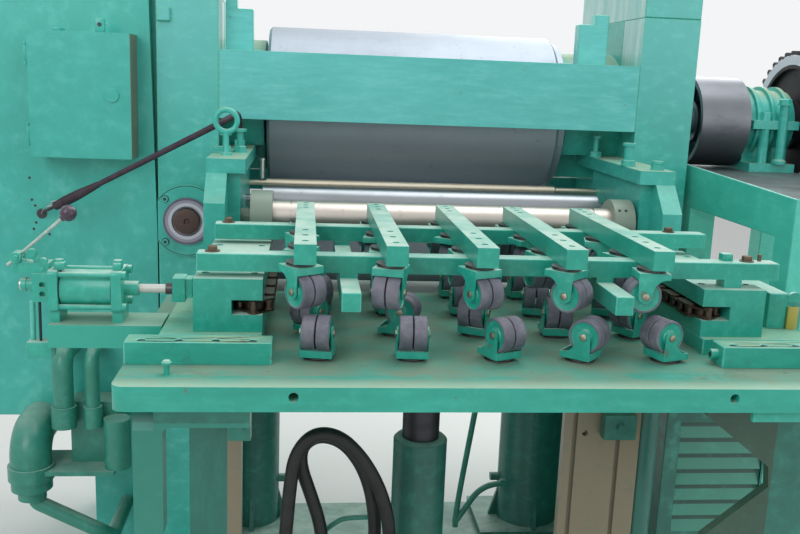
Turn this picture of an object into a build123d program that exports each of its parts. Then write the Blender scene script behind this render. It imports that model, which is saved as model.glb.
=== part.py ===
from build123d import *
import math
import os

# All sizes are in millimetres. The origin is on the floor, on the feed table's centre line, at the middle of the front cross sill.
# X runs across the machine to its drive side, Y runs from the feed table back to the rolls, Z is up.

# Clearances
running_fit = 0.06
seat_gap = 0.3

# Floor frame
sill_height = 60.0
sill_width = 170.0
sill_front = -190.0
cross_sill_half = 130.0
roll_sill_half = 140.0
roll_sill_height = 20.0

# Roll standards and their caps
standard_inner = 590.0
standard_thick = 165.0
standard_front = 535.0
standard_depth = 610.0
standard_seam = 1700.0
cap_height = 173.0
cover_radius = 195.0
cover_gap = 9.0
window_width = 270.0
window_floor = 1270.0
lug_left = -751.0
lug_low = 1632.0
lug_size = 34.0
lug_proud = 12.0

# Embossing roll: every roll axis runs along X
roll_y = 840.0
roll_z = 1408.0
roll_radius = 236.0
roll_left = -463.0
roll_right = 388.0
roll_edge = 8.0
roll_shoulder = 20.0
shoulder_drop = 16.0
journal_radius = 55.0
shaft_radius = 42.0
shaft_stub = 20.0

# Backing roll, its bolster and the two press cylinders
backing_radius = 150.0
nip_gap = 5.0
bolster_half = 150.0
bolster_thick = 100.0
bolster_drop = 20.0
ear_length = 80.0
ear_space = 20.0
ear_rise = 90.0
# Each press cylinder: its place along X, its radius, its flange's two ends and the side of its port
jacks = ((-505.0, 84.0, -589.5, -385.0, 1), (429.0, 104.0, 247.0, 589.5, -1))
jack_rod = 55.0
jack_stroke = 60.0
jack_flange_deep = 135.0
flange_thick = 25.0
gusset_reach = 28.0
gusset_rise = 110.0
gusset_thick = 14.0
jack_port = 14.0

# Front rolls and the brass rod
chrome_y = 460.0
chrome_z = 1168.0
chrome_radius = 40.0
chrome_shaft = 15.0
chrome_overlap = 35.0
rod_y = 600.0
rod_z = 1199.0
rod_radius = 12.5
rod_shaft = 8.0
rod_left_gap = 35.0
rod_right_gap = 111.0
front_y = 280.0
front_z = 1150.0
front_radius = 42.0
# The face of the front roll ends further out on the drive side
front_half = 431.0
front_half_right = 444.0
front_shaft = 20.0
groove_width = 4.0
groove_deep = 2.0
groove_place = 44.0
collar_radius = 66.0
collar_width = 54.0

# Cross beams between the standards, and the posts behind the front one
beam_low = 1380.0
beam_high = 1565.0
beam_thick = 60.0
rear_beam_low = 1120.0
post_deep = 45.0
post_low = 1400.0
left_posts = ((-576.0, -545.0, 1790.0), (-545.0, -501.0, 1677.0))
right_posts = ((422.0, 467.0, 1677.0), (467.0, 508.0, 1705.0))

# Brackets that carry the front rolls
bracket_inner = 496.0
bracket_top = 1299.0
bracket_thick = 35.0
bracket_front = 210.0
bracket_back = 780.0
web_thick = 30.0
web_low = 1095.0
web_back = 640.0
leg_width = 50.0
leg_front = 147.0
leg_knee = 1198.0
leg_low = 800.0
leg_deep = 75.0
foot_height = 75.0
foot_reach = 60.0
window_round = 30.0
eye_ring = 27.0
eye_wire = 7.0
eye_rise = 86.0
eye_y = 310.0
eye_inset = 40.0

# Round shaft flange on the left standard
flange_x = -675.0
flange_z = 1095.0
flange_radius = 100.0
flange_plate = 14.0
seal_radius = 65.0
seal_proud = 10.0
seal_bore = 42.0
stub_radius = 35.0
stub_proud = 6.0

# Drive side
drum_left = 862.0
drum_right = 1018.0
drum_radius = 140.0
drum_rim = 16.0
drum_hollow = 70.0
drum_hub = 66.0
bearing_left = 1030.0
bearing_right = 1178.0
bearing_radius = 105.0
bearing_rib = 12.0
bearing_split = 13.0
bearing_ears = 135.0
bearing_foot = 26.0
bearing_bolt = 15.0
gear_left = 1205.0
gear_right = 1255.0
gear_radius = 234.0
gear_teeth = 36
tooth_height = 16.0
gear_rim = 40.0
gear_web = 16.0
gear_hub = 80.0
shelf_left = 780.0
shelf_right = 1330.0
shelf_front = -40.0
shelf_back = 1080.0
shelf_top = 1262.0
shelf_deep = 96.0
gear_pit = 14.0
shelf_post = 80.0
left_post_y = 540.0
# The left edge plate of the shelf rises towards the back
edge_thick = 12.0
edge_front = 1267.0
edge_back = 1289.0
edge_bend = 610.0

# Left housing, its pedestal and its electrical box
housing_width = 458.0
housing_bottom = 520.0
housing_top = 1873.0
housing_gap = 23.0
housing_gap_low = 4.0
housing_gap_bend = 1060.0
gap_deep = 40.0
pedestal_width = 245.0
pedestal_front = 760.0
pedestal_back = 1100.0
cable_hole_x = -1069.0
cable_hole_z = 1106.0
cable_hole = 11.0
box_left = -1065.0
box_right = -806.0
box_low = 1268.0
box_high = 1592.0
box_depth = 90.0
box_wall = 3.0
door_thick = 4.0
door_clear = 0.3
hinge_radius = 4.5
hinge_pin = 2.5
hinge_half = 20.0
hinge_lug = 10.0
hinge_from_end = 60.0
lock_radius = 18.0
lock_inset = 49.0
lock_proud = 5.0

# Lift table
table_half = 659.0
table_front = -599.0
table_back = 91.0
table_top = 1000.0
table_thick = 43.0
table_corner = 22.0
table_hole = 8.5
table_hole_x = (-363.0, 399.0)
hole_deep = 40.0
ram_x = -66.0
ram_radius = 44.0
ram_inside = 160.0
sleeve_radius = 64.0
sleeve_top = 672.0
sleeve_bevel = 6.0
sleeve_floor = 80.0
sleeve_flange = 95.0

# Guide columns of the lift
column_front = -160.0
column_back = -80.0
column_top = 880.0
left_column = (-588.0, -508.0)
left_way = (-508.0, -477.0)
way_deep = 30.0
right_way = (235.0, 411.0)
right_way_plate = 20.0
right_way_web = (290.0, 380.0)
way_groove = 10.0
way_hole = (284.0, 743.0)
way_hole_radius = 7.0
groove_sink = 10.0
groove_places = (260.0, 361.0)
round_x = 435.0
round_radius = 32.0

# Brackets under the lift table
knee_left = -628.0
knee_width = 35.0
knee_front = -580.0
knee_deep = 40.0
knee_low = 695.0
knee_plate_low = 731.0
knee_bevel = 40.0
knee_side = 14.0
rail_right = -435.0
rail_drop = 12.0
rail_height = 23.0
knee_round = 12.0
notch_plate_front = -500.0
notch_plate_thick = 20.0
notch_plate_low = 560.0
notch = ((399.0, 914.0), (532.0, 811.0), (536.0, 770.0), (417.0, 670.0))
shoe_low = 740.0
shoe_high = 797.0
shoe_hanger = 12.0
shoe_knob = 9.0
shoe_front = -195.0
shoe_back = -166.0
left_shoe = (-504.0, -456.0)
right_shoe = (316.0, 388.0)

# Base cabinet on the right with its louvres
cabinet_left = 524.0
cabinet_right = 779.7
cabinet_front = -40.0
cabinet_back = 460.0
cabinet_top = 760.0
louvre_left = 562.0
louvre_right = 772.0
louvre_top = 720.0
louvre_pitch = 40.5
louvre_count = 7
louvre_deep = 12.0

# Feed carriage: bars and casters stand on one square grid
bar_size = 40.0
bar_height = 37.0
crossbar_height = 34.0
bar_pitch = 164.0
bar_shift = -20.0
bar_front = -452.5
bar_length = 560.0
bar_top = 1213.0
bar_hole = 6.5
hole_rows = (12.0, 50.0, 88.0)
crossbar_y = (-340.0, 5.0)
crossbar_left = -548.0
crossbar_right = 583.0
spacer_width = 36.0
spacer_inner = 473.0
lower_bar_places = ((-283.0, -248.0), (214.0, 248.0))
lower_bar_top = 1133.0
lower_bar_height = 35.0
lower_bar_front = -480.0
lower_bar_length = 540.0
caster_front = -433.0
upper_front = -413.0
upper_shift = -7.0
lower_front_x = (-321.0, -150.0, 15.0, 170.0, 336.0)
caster_height = 84.0
wheel_radius = 32.0
wheel_width = 23.0
wheel_gap = 4.0
wheel_edge = 3.0
hub_radius = 20.0
hub_sink = 4.0
caster_trail = 15.0
axle_radius = 5.0
axle_head = 8.0
axle_proud = 3.0
fork_plate = 3.0
fork_boss = 13.0
crown_reach = 30.0
crown_lip = 11.0
side_clear = 1.5
race_radius = 23.0
race_height = 8.0
stem_radius = 17.0
stem_height = 4.0
upper_turn = (35.0, -18.0, 25.0, 45.0, -95.0)
lower_turn = (170.0, 177.0, 205.0, 230.0, 110.0)
second_turn = (140.0, 250.0, 150.0, 176.0, 120.0)

# Side guides, their bases and the chains in their slots
guide_inner = 425.0
guide_width = 127.0
guide_front = -378.0
guide_back = 40.0
guide_low = 1031.0
left_guide_top = 1132.0
right_guide_top = 1126.0
slot_low = 1064.0
slot_height = 28.0
slot_deep = 57.0
base_margin = 18.0
base_outer = 60.0
front_rail_y = (-481.0, -430.0)
front_rail_height = 40.0
front_rail_inner = (403.0, 427.0)
front_rail_outer = 659.0
rail_hole_y = -464.0
left_rail_holes = (-631.0, -566.0, -502.0, -437.0)
right_rail_holes = (453.0, 514.0, 577.0)
rail_hole = 7.0
block_hole = 7.5
side_plate_x = (597.0, 636.0)
side_plate_y = (-310.0, -60.0)
side_plate_top = 1105.0
link_pitch = 38.1
link_count = 22
link_half = 9.0
link_plate = 3.4
link_chamfer = 4.0
roller_radius = 8.0
pin_radius = 4.5
sprocket_teeth = 4
chain_proud = 19.0

# Air cylinder that pushes the left guide, and its hand valve
air_y = -290.0
air_z = 1091.5
air_cap = 40.0
air_left = -823.0
air_cap_left = 17.0
air_cap_right = 19.0
air_right = -690.0
air_tube = 35.0
air_neck = 14.0
neck_length = 26.0
tie_radius = 5.0
tie_inset = 9.0
tie_nut = 8.0
nut_thick = 8.0
air_foot_half = 30.0
cylinder_foot_low = 986.0
cylinder_foot_top = 1030.0
cylinder_foot_half = 50.0
cylinder_foot_end = -615.0
push_rod = 8.5
push_rod_left = -765.0
guide_stroke = 45.0
coupler_left = -613.0
coupler_nut = 11.0
coupler_block = (-599.0, -575.0)
coupler_half = 22.0
coupler_low = 21.0
coupler_high = 25.0
coupler_plate = 13.0
valve_left = -856.0
valve_half = 22.0
valve_low = 1067.0
valve_high = 1121.0
valve_arm = 20.0
valve_holes = (1082.0, 1100.0)
valve_hole_x = -838.0
pivot_x = -884.0
pivot_z = 1151.0
pivot_radius = 4.0
fork_ear = 8.0
knob_x = -791.0
knob_z = 1234.0
knob_radius = 15.5
lever_radius = 4.0
lever_tail = 18.0

# Hydraulic pipework under the left housing
tray_left = -1048.0
tray_right = -862.0
tray_front = 380.0
tray_low = 400.0
tray_thick = 12.0
block_left = -990.0
block_front = 450.0
pipe_y = 420.0
elbow_x = -1093.0
elbow_radius = 55.0
elbow_z = 505.0
elbow_low = 350.0
pipe_a_x = -999.0
pipe_b_x = -922.0
pipe_a = 27.0
pipe_b = 20.0
pipe_top = 735.0
pipe_foot = 590.0
filter_x = -858.0
filter_radius = 36.0
drain_radius = 21.0
drain_x = -902.0
drain_z = 212.0

# Hoses of the lift and the cable through the eyebolt
hose_radius = 15.0
fitting_radius = 20.0
manifold_left = -420.0
manifold_right = -300.0
manifold_height = 55.0
manifold_back = -55.0
cable_radius = 9.0
# Each route is a list of points that the middle of the hose or cable follows
hose_1_route = [
    (-392, -105, 140), (-392, -105, 190), (-391, -120, 270), (-388, -137, 355), (-384, -152, 440), (-378, -162, 530),
    (-372, -168, 620), (-362, -170, 700), (-322, -170, 748), (-268, -170, 742), (-220, -169, 696),
    (-182, -166, 632), (-157, -158, 562), (-146, -148, 490), (-146, -134, 415), (-151, -120, 350),
    (-153, -110, 310), (-153, -110, 262),
]
hose_2_route = [
    (-330, -82, 140), (-330, -82, 190), (-314, -92, 270), (-300, -102, 350), (-294, -110, 430), (-303, -118, 510),
    (-328, -125, 590), (-350, -130, 655), (-348, -132, 702), (-312, -132, 728), (-262, -132, 716),
    (-222, -130, 670), (-196, -126, 612), (-182, -118, 545), (-176, -104, 478), (-177, -86, 420),
    (-178, -66, 375), (-178, -66, 335),
]
cable_route = [
    (-1069, 575, 1106), (-1069, 468, 1106), (-541, 345, 1391), (-531, 515, 1400), (-531, 515, 1324),
]
cable_bends = (72.0, 72.0, 72.0)
gland_radius = 14.0
gland_height = 25.0


def block(x0, x1, y0, y1, z0, z1):
    """A plain block between two corners."""
    return Pos((x0 + x1) / 2, (y0 + y1) / 2, (z0 + z1) / 2) * Box(abs(x1 - x0), abs(y1 - y0), abs(z1 - z0))


def bar_x(x0, x1, y, z, radius):
    """A round bar along X."""
    return Pos((x0 + x1) / 2, y, z) * Rot(0, 90, 0) * Cylinder(radius, x1 - x0)


def bar_y(y0, y1, x, z, radius):
    """A round bar along Y."""
    return Pos(x, (y0 + y1) / 2, z) * Rot(90, 0, 0) * Cylinder(radius, y1 - y0)


def bar_z(z0, z1, x, y, radius):
    """A round bar that stands upright."""
    return Pos(x, y, (z0 + z1) / 2) * Cylinder(radius, z1 - z0)


def side_shape(points, x0, x1):
    """An outline of points along Y and Z, pulled out along X."""
    x0, x1 = sorted((x0, x1))
    face = make_face(Polyline([(x0, y, z) for y, z in points], close=True))
    return extrude(face, amount=x1 - x0, dir=(1, 0, 0))


def front_shape(points, y0, y1):
    """An outline of points along X and Z, pulled out along Y."""
    face = make_face(Polyline([(x, y0, z) for x, z in points], close=True))
    return extrude(face, amount=y1 - y0, dir=(0, 1, 0))


def turned(points, y, z):
    """A body of revolution about an axis along X, from points of place along X and radius."""
    face = make_face(Polyline([(x, y, z + radius) for x, radius in points], close=True))
    return revolve(face, Axis((0, y, z), (1, 0, 0)))


def corner_radii(points):
    """The radius at each corner of a route: as large as its two runs allow."""
    radii = []
    for before, here, after in zip(points, points[1:], points[2:]):
        into = Vector(*here) - Vector(*before)
        out = Vector(*after) - Vector(*here)
        turn = math.radians(into.get_angle(out))
        radii.append(0.45 * min(into.length, out.length) / math.tan(turn / 2))
    return radii


def tube(points, radius, radii):
    """A round tube along a route whose corners are arcs."""
    path = FilletPolyline(*points, radius=radii)
    return sweep(Plane(origin=path @ 0, z_dir=path % 0) * Circle(radius), path=path)


nodes = {}

standard_outer = standard_inner + standard_thick
standard_back = standard_front + standard_depth


# Floor frame: two side sills, a cross sill under the lift and one under the rolls
def floor_frame():
    outer = standard_outer + 5
    frame = block(-outer, outer, -cross_sill_half, cross_sill_half, 0, sill_height)
    frame += block(-outer, outer, roll_y - roll_sill_half, roll_y + roll_sill_half, 0, roll_sill_height)
    for side in (-1, 1):
        frame += block(side * (outer - sill_width), side * outer, sill_front, standard_back + 5, 0, sill_height)
    return frame


frame = floor_frame()
manifold_top = sill_height + manifold_height
frame += block(
    manifold_left, manifold_right, -cross_sill_half, manifold_back, sill_height, manifold_top
)
for x, y, z in (hose_1_route[0], hose_2_route[0]):
    frame += bar_z(manifold_top, z, x, y, fitting_radius)
nodes["base_frame"] = frame

# Roll standards with an open window that a cap closes, and in each window a bearing block with a round cover
caps = []
chocks = []
for name, side in (("left", -1), ("right", 1)):
    x0 = side * standard_inner
    x1 = side * standard_outer
    standard = block(x0, x1, standard_front, standard_back, sill_height, standard_seam)
    standard -= block(x0, x1, roll_y - window_width / 2, roll_y + window_width / 2, window_floor, standard_seam)
    if side < 0:
        standard += block(
            lug_left, lug_left + lug_size, standard_front - lug_proud, standard_front, lug_low, lug_low + lug_size
        )
    nodes[name + "_standard"] = standard
    caps.append(block(x0, x1, standard_front, standard_back, standard_seam, standard_seam + cap_height))
    half = window_width / 2 - seat_gap
    chock = block(x0, x1, roll_y - half, roll_y + half, window_floor, standard_seam)
    cover_end = roll_left - cover_gap if side < 0 else roll_right + roll_shoulder + cover_gap
    x_low, x_high = sorted((x0, cover_end))
    cover = bar_x(x_low, x_high, roll_y, roll_z, cover_radius)
    chock += cover - block(x_low, x_high, 0, bracket_back + 1, 0, bracket_top + seat_gap)
    chock -= bar_x(-standard_outer - 1, standard_outer + 1, roll_y, roll_z, journal_radius + running_fit)
    chocks.append(chock)
nodes["standard_caps"] = Compound(children=caps)
nodes["roll_chocks"] = Compound(children=chocks)

# Cross beams, with two posts bolted behind each end of the front one
beam_back = standard_front + beam_thick
front_beam = block(-standard_inner, standard_inner, standard_front, beam_back, beam_low, beam_high)
for x0, x1, top in left_posts + right_posts:
    front_beam += block(x0, x1, beam_back, beam_back + post_deep, post_low, top)
rear_beam = block(-standard_inner, standard_inner, standard_back - beam_thick, standard_back, rear_beam_low, beam_high)
nodes["cross_beams"] = Compound(children=[front_beam, rear_beam])

# Embossing roll with a rounded edge, a shoulder on its drive end, journals and the long drive shaft
roll = turned(
    [
        (-standard_outer, 0), (-standard_outer, journal_radius), (roll_left, journal_radius),
        (roll_left, roll_radius - roll_edge), (roll_left + roll_edge, roll_radius),
        (roll_right - roll_edge, roll_radius), (roll_right, roll_radius - roll_edge),
        (roll_right, roll_radius - shoulder_drop), (roll_right + roll_shoulder, roll_radius - shoulder_drop),
        (roll_right + roll_shoulder, journal_radius), (standard_outer, journal_radius),
        (standard_outer, shaft_radius), (gear_right + shaft_stub, shaft_radius), (gear_right + shaft_stub, 0),
    ],
    roll_y, roll_z,
)
nodes["embossing_roll"] = roll

# Drive drum: a rim that is open towards the machine, a web and a hub on the shaft
nodes["drive_drum"] = turned(
    [
        (drum_left, drum_radius - drum_rim), (drum_left, drum_radius), (drum_right, drum_radius),
        (drum_right, shaft_radius), (drum_left + drum_rim, shaft_radius), (drum_left + drum_rim, drum_hub),
        (drum_left + drum_hollow, drum_hub), (drum_left + drum_hollow, drum_radius - drum_rim),
    ],
    roll_y, roll_z,
)


# Drive gear: straight teeth round a rim, with a sunk web and a hub
def gear_outline():
    """The corners of the teeth, four to a tooth."""
    points = []
    step = 2 * math.pi / gear_teeth
    for i in range(gear_teeth):
        for share, radius in ((0.0, gear_radius - tooth_height), (0.42, gear_radius - tooth_height),
                              (0.56, gear_radius), (0.86, gear_radius)):
            angle = (i + share) * step
            points.append((roll_y + radius * math.cos(angle), roll_z + radius * math.sin(angle)))
    return points


gear = side_shape(gear_outline(), gear_left, gear_right)
web_outer = gear_radius - tooth_height - gear_rim
for x0, x1 in ((gear_left, gear_left + gear_web), (gear_right - gear_web, gear_right)):
    gear -= bar_x(x0, x1, roll_y, roll_z, web_outer) - bar_x(x0, x1, roll_y, roll_z, gear_hub)
nodes["drive_gear"] = gear - bar_x(gear_left - 1, gear_right + 1, roll_y, roll_z, shaft_radius)


# Pillow block on the drive shelf: two halves bolted together at the split, with ribs round the shell
def bearing():
    shell = bar_x(bearing_left, bearing_right, roll_y, roll_z, bearing_radius)
    for place in (0.18, 0.5, 0.82):
        middle = bearing_left + place * (bearing_right - bearing_left)
        rib = bar_x(middle - bearing_rib / 2, middle + bearing_rib / 2, roll_y, roll_z, bearing_radius + bearing_rib)
        shell += rib
    shell += block(
        bearing_left, bearing_right, roll_y - bearing_radius * 0.72, roll_y + bearing_radius * 0.72, shelf_top, roll_z
    )
    shell += block(
        bearing_left, bearing_right, roll_y - bearing_ears, roll_y + bearing_ears,
        roll_z - bearing_split, roll_z + bearing_split,
    )
    shell += block(
        bearing_left, bearing_right, roll_y - bearing_ears, roll_y + bearing_ears, shelf_top, shelf_top + bearing_foot
    )
    for side in (-1, 1):
        for place in (0.3, 0.7):
            x = bearing_left + place * (bearing_right - bearing_left)
            y = roll_y + side * (bearing_ears - bearing_bolt)
            shell += bar_z(shelf_top + bearing_foot, roll_z + 3 * bearing_split, x, y, bearing_bolt)
    return shell - bar_x(bearing_left - 1, bearing_right + 1, roll_y, roll_z, shaft_radius + running_fit)


nodes["bearing_housing"] = bearing()

# Backing roll under the embossing roll, on a bolster that two press cylinders carry
backing_z = roll_z - roll_radius - nip_gap - backing_radius
neck = ear_length + ear_space
nodes["backing_roll"] = bar_x(roll_left, roll_right, roll_y, backing_z, backing_radius) + bar_x(
    roll_left - neck, roll_right + neck, roll_y, backing_z, journal_radius
)
bolster_top = backing_z - backing_radius - bolster_drop
bolster_low = bolster_top - bolster_thick
bolster = block(
    -standard_inner, standard_inner, roll_y - bolster_half, roll_y + bolster_half, bolster_low, bolster_top
)
for x0, x1 in ((roll_left - neck, roll_left - ear_space), (roll_right + ear_space, roll_right + neck)):
    ear = block(x0, x1, roll_y - bolster_half + 50, roll_y + bolster_half - 50, bolster_top, backing_z + ear_rise)
    bolster += ear - bar_x(x0 - 1, x1 + 1, roll_y, backing_z, journal_radius + running_fit)
nodes["press_bolster"] = bolster


def press_jack(x, radius, left, right, port_side):
    """One press cylinder on its flange, with a port towards the middle and gussets at its foot."""
    barrel_top = bolster_low - jack_stroke
    floor = roll_sill_height + flange_thick
    jack = bar_z(roll_sill_height, barrel_top, x, roll_y, radius)
    jack += bar_z(barrel_top, bolster_low, x, roll_y, jack_rod)
    jack += block(left, right, roll_y - jack_flange_deep, roll_y + jack_flange_deep, roll_sill_height, floor)
    inside = radius - 4
    outline = [(inside, floor), (inside + 4 + gusset_reach, floor), (inside, floor + gusset_rise)]
    towards_middle = 90 - 90 * port_side
    for turn in (towards_middle - 90, towards_middle, towards_middle + 90):
        rib = front_shape(outline, -gusset_thick / 2, gusset_thick / 2)
        jack += Pos(x, roll_y, 0) * Rot(0, 0, turn) * rib
    reach = port_side * (radius + 2 * jack_port)
    jack += bar_x(min(x, x + reach), max(x, x + reach), roll_y, floor + gusset_rise + 2 * jack_port, jack_port)
    return jack


nodes["press_cylinders"] = Compound(children=[press_jack(*jack) for jack in jacks])


# Brackets that stand out in front of the standards and carry the front rolls
def roll_bracket(side):
    outer = side * standard_inner
    leg_inner = side * (standard_inner - leg_width)
    under = bracket_top - bracket_thick
    plate = block(side * bracket_inner, outer, bracket_front, bracket_back, under, bracket_top)
    leg = side_shape(
        [
            (leg_front, leg_low), (leg_front, leg_knee), (bracket_front, under), (standard_front, under),
            (standard_front, leg_low),
        ],
        leg_inner, outer,
    )
    window_front = leg_front + leg_deep
    window_back = standard_front - leg_deep
    window_floor_z = leg_low + foot_height
    opening = side_shape(
        [
            (window_front, window_floor_z), (window_front, web_low - 20), (window_front + 40, web_low + 25),
            (window_back, web_low + 25), (window_back, window_floor_z),
        ],
        leg_inner, outer,
    )
    leg -= fillet(opening.edges().filter_by(Axis.X), window_round)
    foot = block(
        leg_inner, side * (standard_inner + foot_reach), standard_front - flange_thick, standard_front,
        leg_low, leg_low + foot_height,
    )
    web_outer_x = side * (standard_inner - leg_width)
    web_inner_x = side * (standard_inner - leg_width - web_thick)
    web = side_shape(
        [
            (front_y - 45, web_low), (front_y - 45, under), (web_back, under), (web_back, rod_z - 40),
            (chrome_y, web_low),
        ],
        web_inner_x, web_outer_x,
    )
    bracket = plate + leg + foot + web
    reach = standard_inner - leg_width
    bracket -= bar_x(-reach, reach, front_y, front_z, front_shaft + running_fit)
    bracket -= bar_x(-reach, reach, chrome_y, chrome_z, chrome_shaft + running_fit)
    bracket -= bar_x(-reach, reach, rod_y, rod_z, rod_shaft + running_fit)
    if side < 0:
        bracket -= bar_y(
            standard_front - flange_plate - seal_proud - 2, standard_front, flange_x, flange_z, flange_radius + 2
        )
        eye_x = -standard_inner + eye_inset
        ring = Pos(eye_x, eye_y, bracket_top + eye_rise) * Rot(90, 0, 0) * Torus(eye_ring, eye_wire)
        stem = bar_z(bracket_top, bracket_top + eye_rise - eye_ring, eye_x, eye_y, eye_wire)
        collar = bar_z(bracket_top, bracket_top + eye_wire, eye_x, eye_y, 2 * eye_wire)
        end = cable_route[-1]
        gland = bar_z(bracket_top, end[2], end[0], end[1], gland_radius)
        bracket += ring + stem + collar + gland
    return bracket


nodes["roll_brackets"] = Compound(children=[roll_bracket(-1), roll_bracket(1)])

# Front roll with a collar at each end and a groove beside each collar
shaft_end = standard_inner - leg_width


def half_roll(face_end):
    """One half of the front roll, from its groove to its shaft end."""
    collar_end = face_end + collar_width
    groove = face_end - groove_place
    return [
        (groove - groove_width, front_radius), (groove - groove_width, front_radius - groove_deep),
        (groove, front_radius - groove_deep), (groove, front_radius), (face_end, front_radius),
        (face_end, collar_radius), (collar_end, collar_radius), (collar_end, front_shaft),
        (shaft_end, front_shaft), (shaft_end, 0),
    ]


left_half = [(-x, radius) for x, radius in reversed(half_roll(front_half))]
nodes["front_roll"] = turned(left_half + half_roll(front_half_right), front_y, front_z)
chrome_half = front_half + chrome_overlap
nodes["chrome_roll"] = turned(
    [
        (-shaft_end, 0), (-shaft_end, chrome_shaft), (-chrome_half, chrome_shaft), (-chrome_half, chrome_radius - 2),
        (2 - chrome_half, chrome_radius), (chrome_half - 2, chrome_radius), (chrome_half, chrome_radius - 2),
        (chrome_half, chrome_shaft), (shaft_end, chrome_shaft), (shaft_end, 0),
    ],
    chrome_y, chrome_z,
)
rod_left = rod_left_gap - bracket_inner
rod_right = bracket_inner - rod_right_gap
nodes["brass_rod"] = turned(
    [
        (-shaft_end, 0), (-shaft_end, rod_shaft), (rod_left, rod_shaft), (rod_left, rod_radius),
        (rod_right - 4, rod_radius), (rod_right, rod_radius - 4), (rod_right, rod_shaft), (shaft_end, rod_shaft),
        (shaft_end, 0),
    ],
    rod_y, rod_z,
)

# Round flange on the front of the left standard, with a seal ring round a shaft end
flange = bar_y(standard_front - flange_plate, standard_front, flange_x, flange_z, flange_radius)
flange += bar_y(
    standard_front - flange_plate - seal_proud, standard_front - flange_plate, flange_x, flange_z, seal_radius
)
flange -= bar_y(
    standard_front - flange_plate - seal_proud, standard_front - flange_plate / 2, flange_x, flange_z, seal_bore
)
flange += bar_y(standard_front - flange_plate - stub_proud, standard_front, flange_x, flange_z, stub_radius)
flange -= block(flange_x - flange_radius - 1, -standard_outer, 0, standard_front, 0, standard_seam)
nodes["shaft_flange"] = flange


# Drive shelf on four posts, with a pit for the gear
def drive_shelf():
    under = shelf_top - shelf_deep
    shelf = block(shelf_left, shelf_right, shelf_front, shelf_back, under, shelf_top)
    shelf -= block(
        gear_left - gear_pit, gear_right + gear_pit, roll_y - gear_radius, shelf_back + 1, under, shelf_top
    )
    shelf += side_shape(
        [
            (shelf_front, under), (shelf_front, edge_front), (edge_bend, edge_back), (shelf_back, edge_back),
            (shelf_back, under),
        ],
        shelf_left, shelf_left + edge_thick,
    )
    for x0, last in ((shelf_left, left_post_y), (shelf_right - shelf_post, shelf_back - shelf_post)):
        for y0 in (shelf_front, last):
            shelf += block(x0, x0 + shelf_post, y0, y0 + shelf_post, 0, under)
    return shelf


nodes["drive_shelf"] = drive_shelf()

# Left housing on its pedestal, with a narrow groove beside the standard and a cable hole
housing_right = -standard_outer
housing_left = housing_right - housing_width
housing = block(housing_left, housing_right, standard_front, standard_back, housing_bottom, housing_top)
housing -= front_shape(
    [
        (housing_right - housing_gap, housing_top), (housing_right, housing_top), (housing_right, housing_bottom),
        (housing_right - housing_gap_low, housing_bottom), (housing_right - housing_gap_low, housing_gap_bend),
    ],
    standard_front, standard_front + gap_deep,
)
housing += block(
    housing_right - pedestal_width, housing_right - 5, pedestal_front, pedestal_back, 0, housing_bottom
)
housing -= bar_y(standard_front, standard_front + hole_deep, cable_hole_x, cable_hole_z, cable_hole)
nodes["left_housing"] = housing

# Electrical box, open at the front, with two fixed hinge pins beside its left edge
box_front = standard_front - box_depth
door_back = box_front - door_clear
door_front = door_back - door_thick
hinge_x = box_left - hinge_radius - door_clear
hinge_y = (door_front + door_back) / 2
hinge_places = (box_low + hinge_from_end, box_high - hinge_from_end)
case = block(box_left, box_right, box_front, standard_front, box_low, box_high)
case -= block(
    box_left + box_wall, box_right - box_wall, box_front, standard_front - box_wall,
    box_low + box_wall, box_high - box_wall,
)
for z in hinge_places:
    case += bar_z(z - hinge_half - 1, z + hinge_half + 1, hinge_x, hinge_y, hinge_pin)
    for low in (z - hinge_half - door_clear - hinge_lug, z + hinge_half + door_clear):
        case += bar_z(low, low + hinge_lug, hinge_x, hinge_y, hinge_radius)
        case += block(hinge_x, box_left, box_front, box_front + 2 * hinge_radius, low, low + hinge_lug)
nodes["electrical_box"] = case

# Door of the electrical box, with a round barrel on each hinge pin and a lock
door = block(box_left, box_right, door_front, door_back, box_low, box_high)
for z in hinge_places:
    door += bar_z(z - hinge_half, z + hinge_half, hinge_x, hinge_y, hinge_radius)
    door += block(hinge_x, box_left, door_front, door_back, z - hinge_half, z + hinge_half)
    door -= bar_z(z - hinge_half - 1, z + hinge_half + 1, hinge_x, hinge_y, hinge_pin + running_fit)
door += bar_y(door_front - lock_proud, door_front, box_right - lock_inset, (box_low + box_high) / 2 + 4, lock_radius)
nodes["box_door"] = door

# Lift cylinder with a bevelled mouth, and its ram
sleeve = bar_z(sill_height, sleeve_top, ram_x, 0, sleeve_radius)
sleeve = chamfer(sleeve.edges().group_by(Axis.Z)[-1], sleeve_bevel)
sleeve += bar_z(sill_height, sill_height + flange_thick, ram_x, 0, sleeve_flange)
for x, y, z in (hose_1_route[-1], hose_2_route[-1]):
    sleeve += bar_z(z - 2 * fitting_radius, z, x, y, fitting_radius)
    reach = math.hypot(x - ram_x, y)
    port = Pos(ram_x, 0, z - fitting_radius) * Rot(0, 0, math.degrees(math.atan2(y, x - ram_x)))
    sleeve += port * bar_x(0, reach, 0, 0, hose_radius)
sleeve -= bar_z(sill_height + sleeve_floor, sleeve_top + 1, ram_x, 0, ram_radius + running_fit)
nodes["lift_cylinder"] = sleeve
table_under = table_top - table_thick
nodes["lift_ram"] = bar_z(sill_height + ram_inside, table_under, ram_x, 0, ram_radius)

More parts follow.
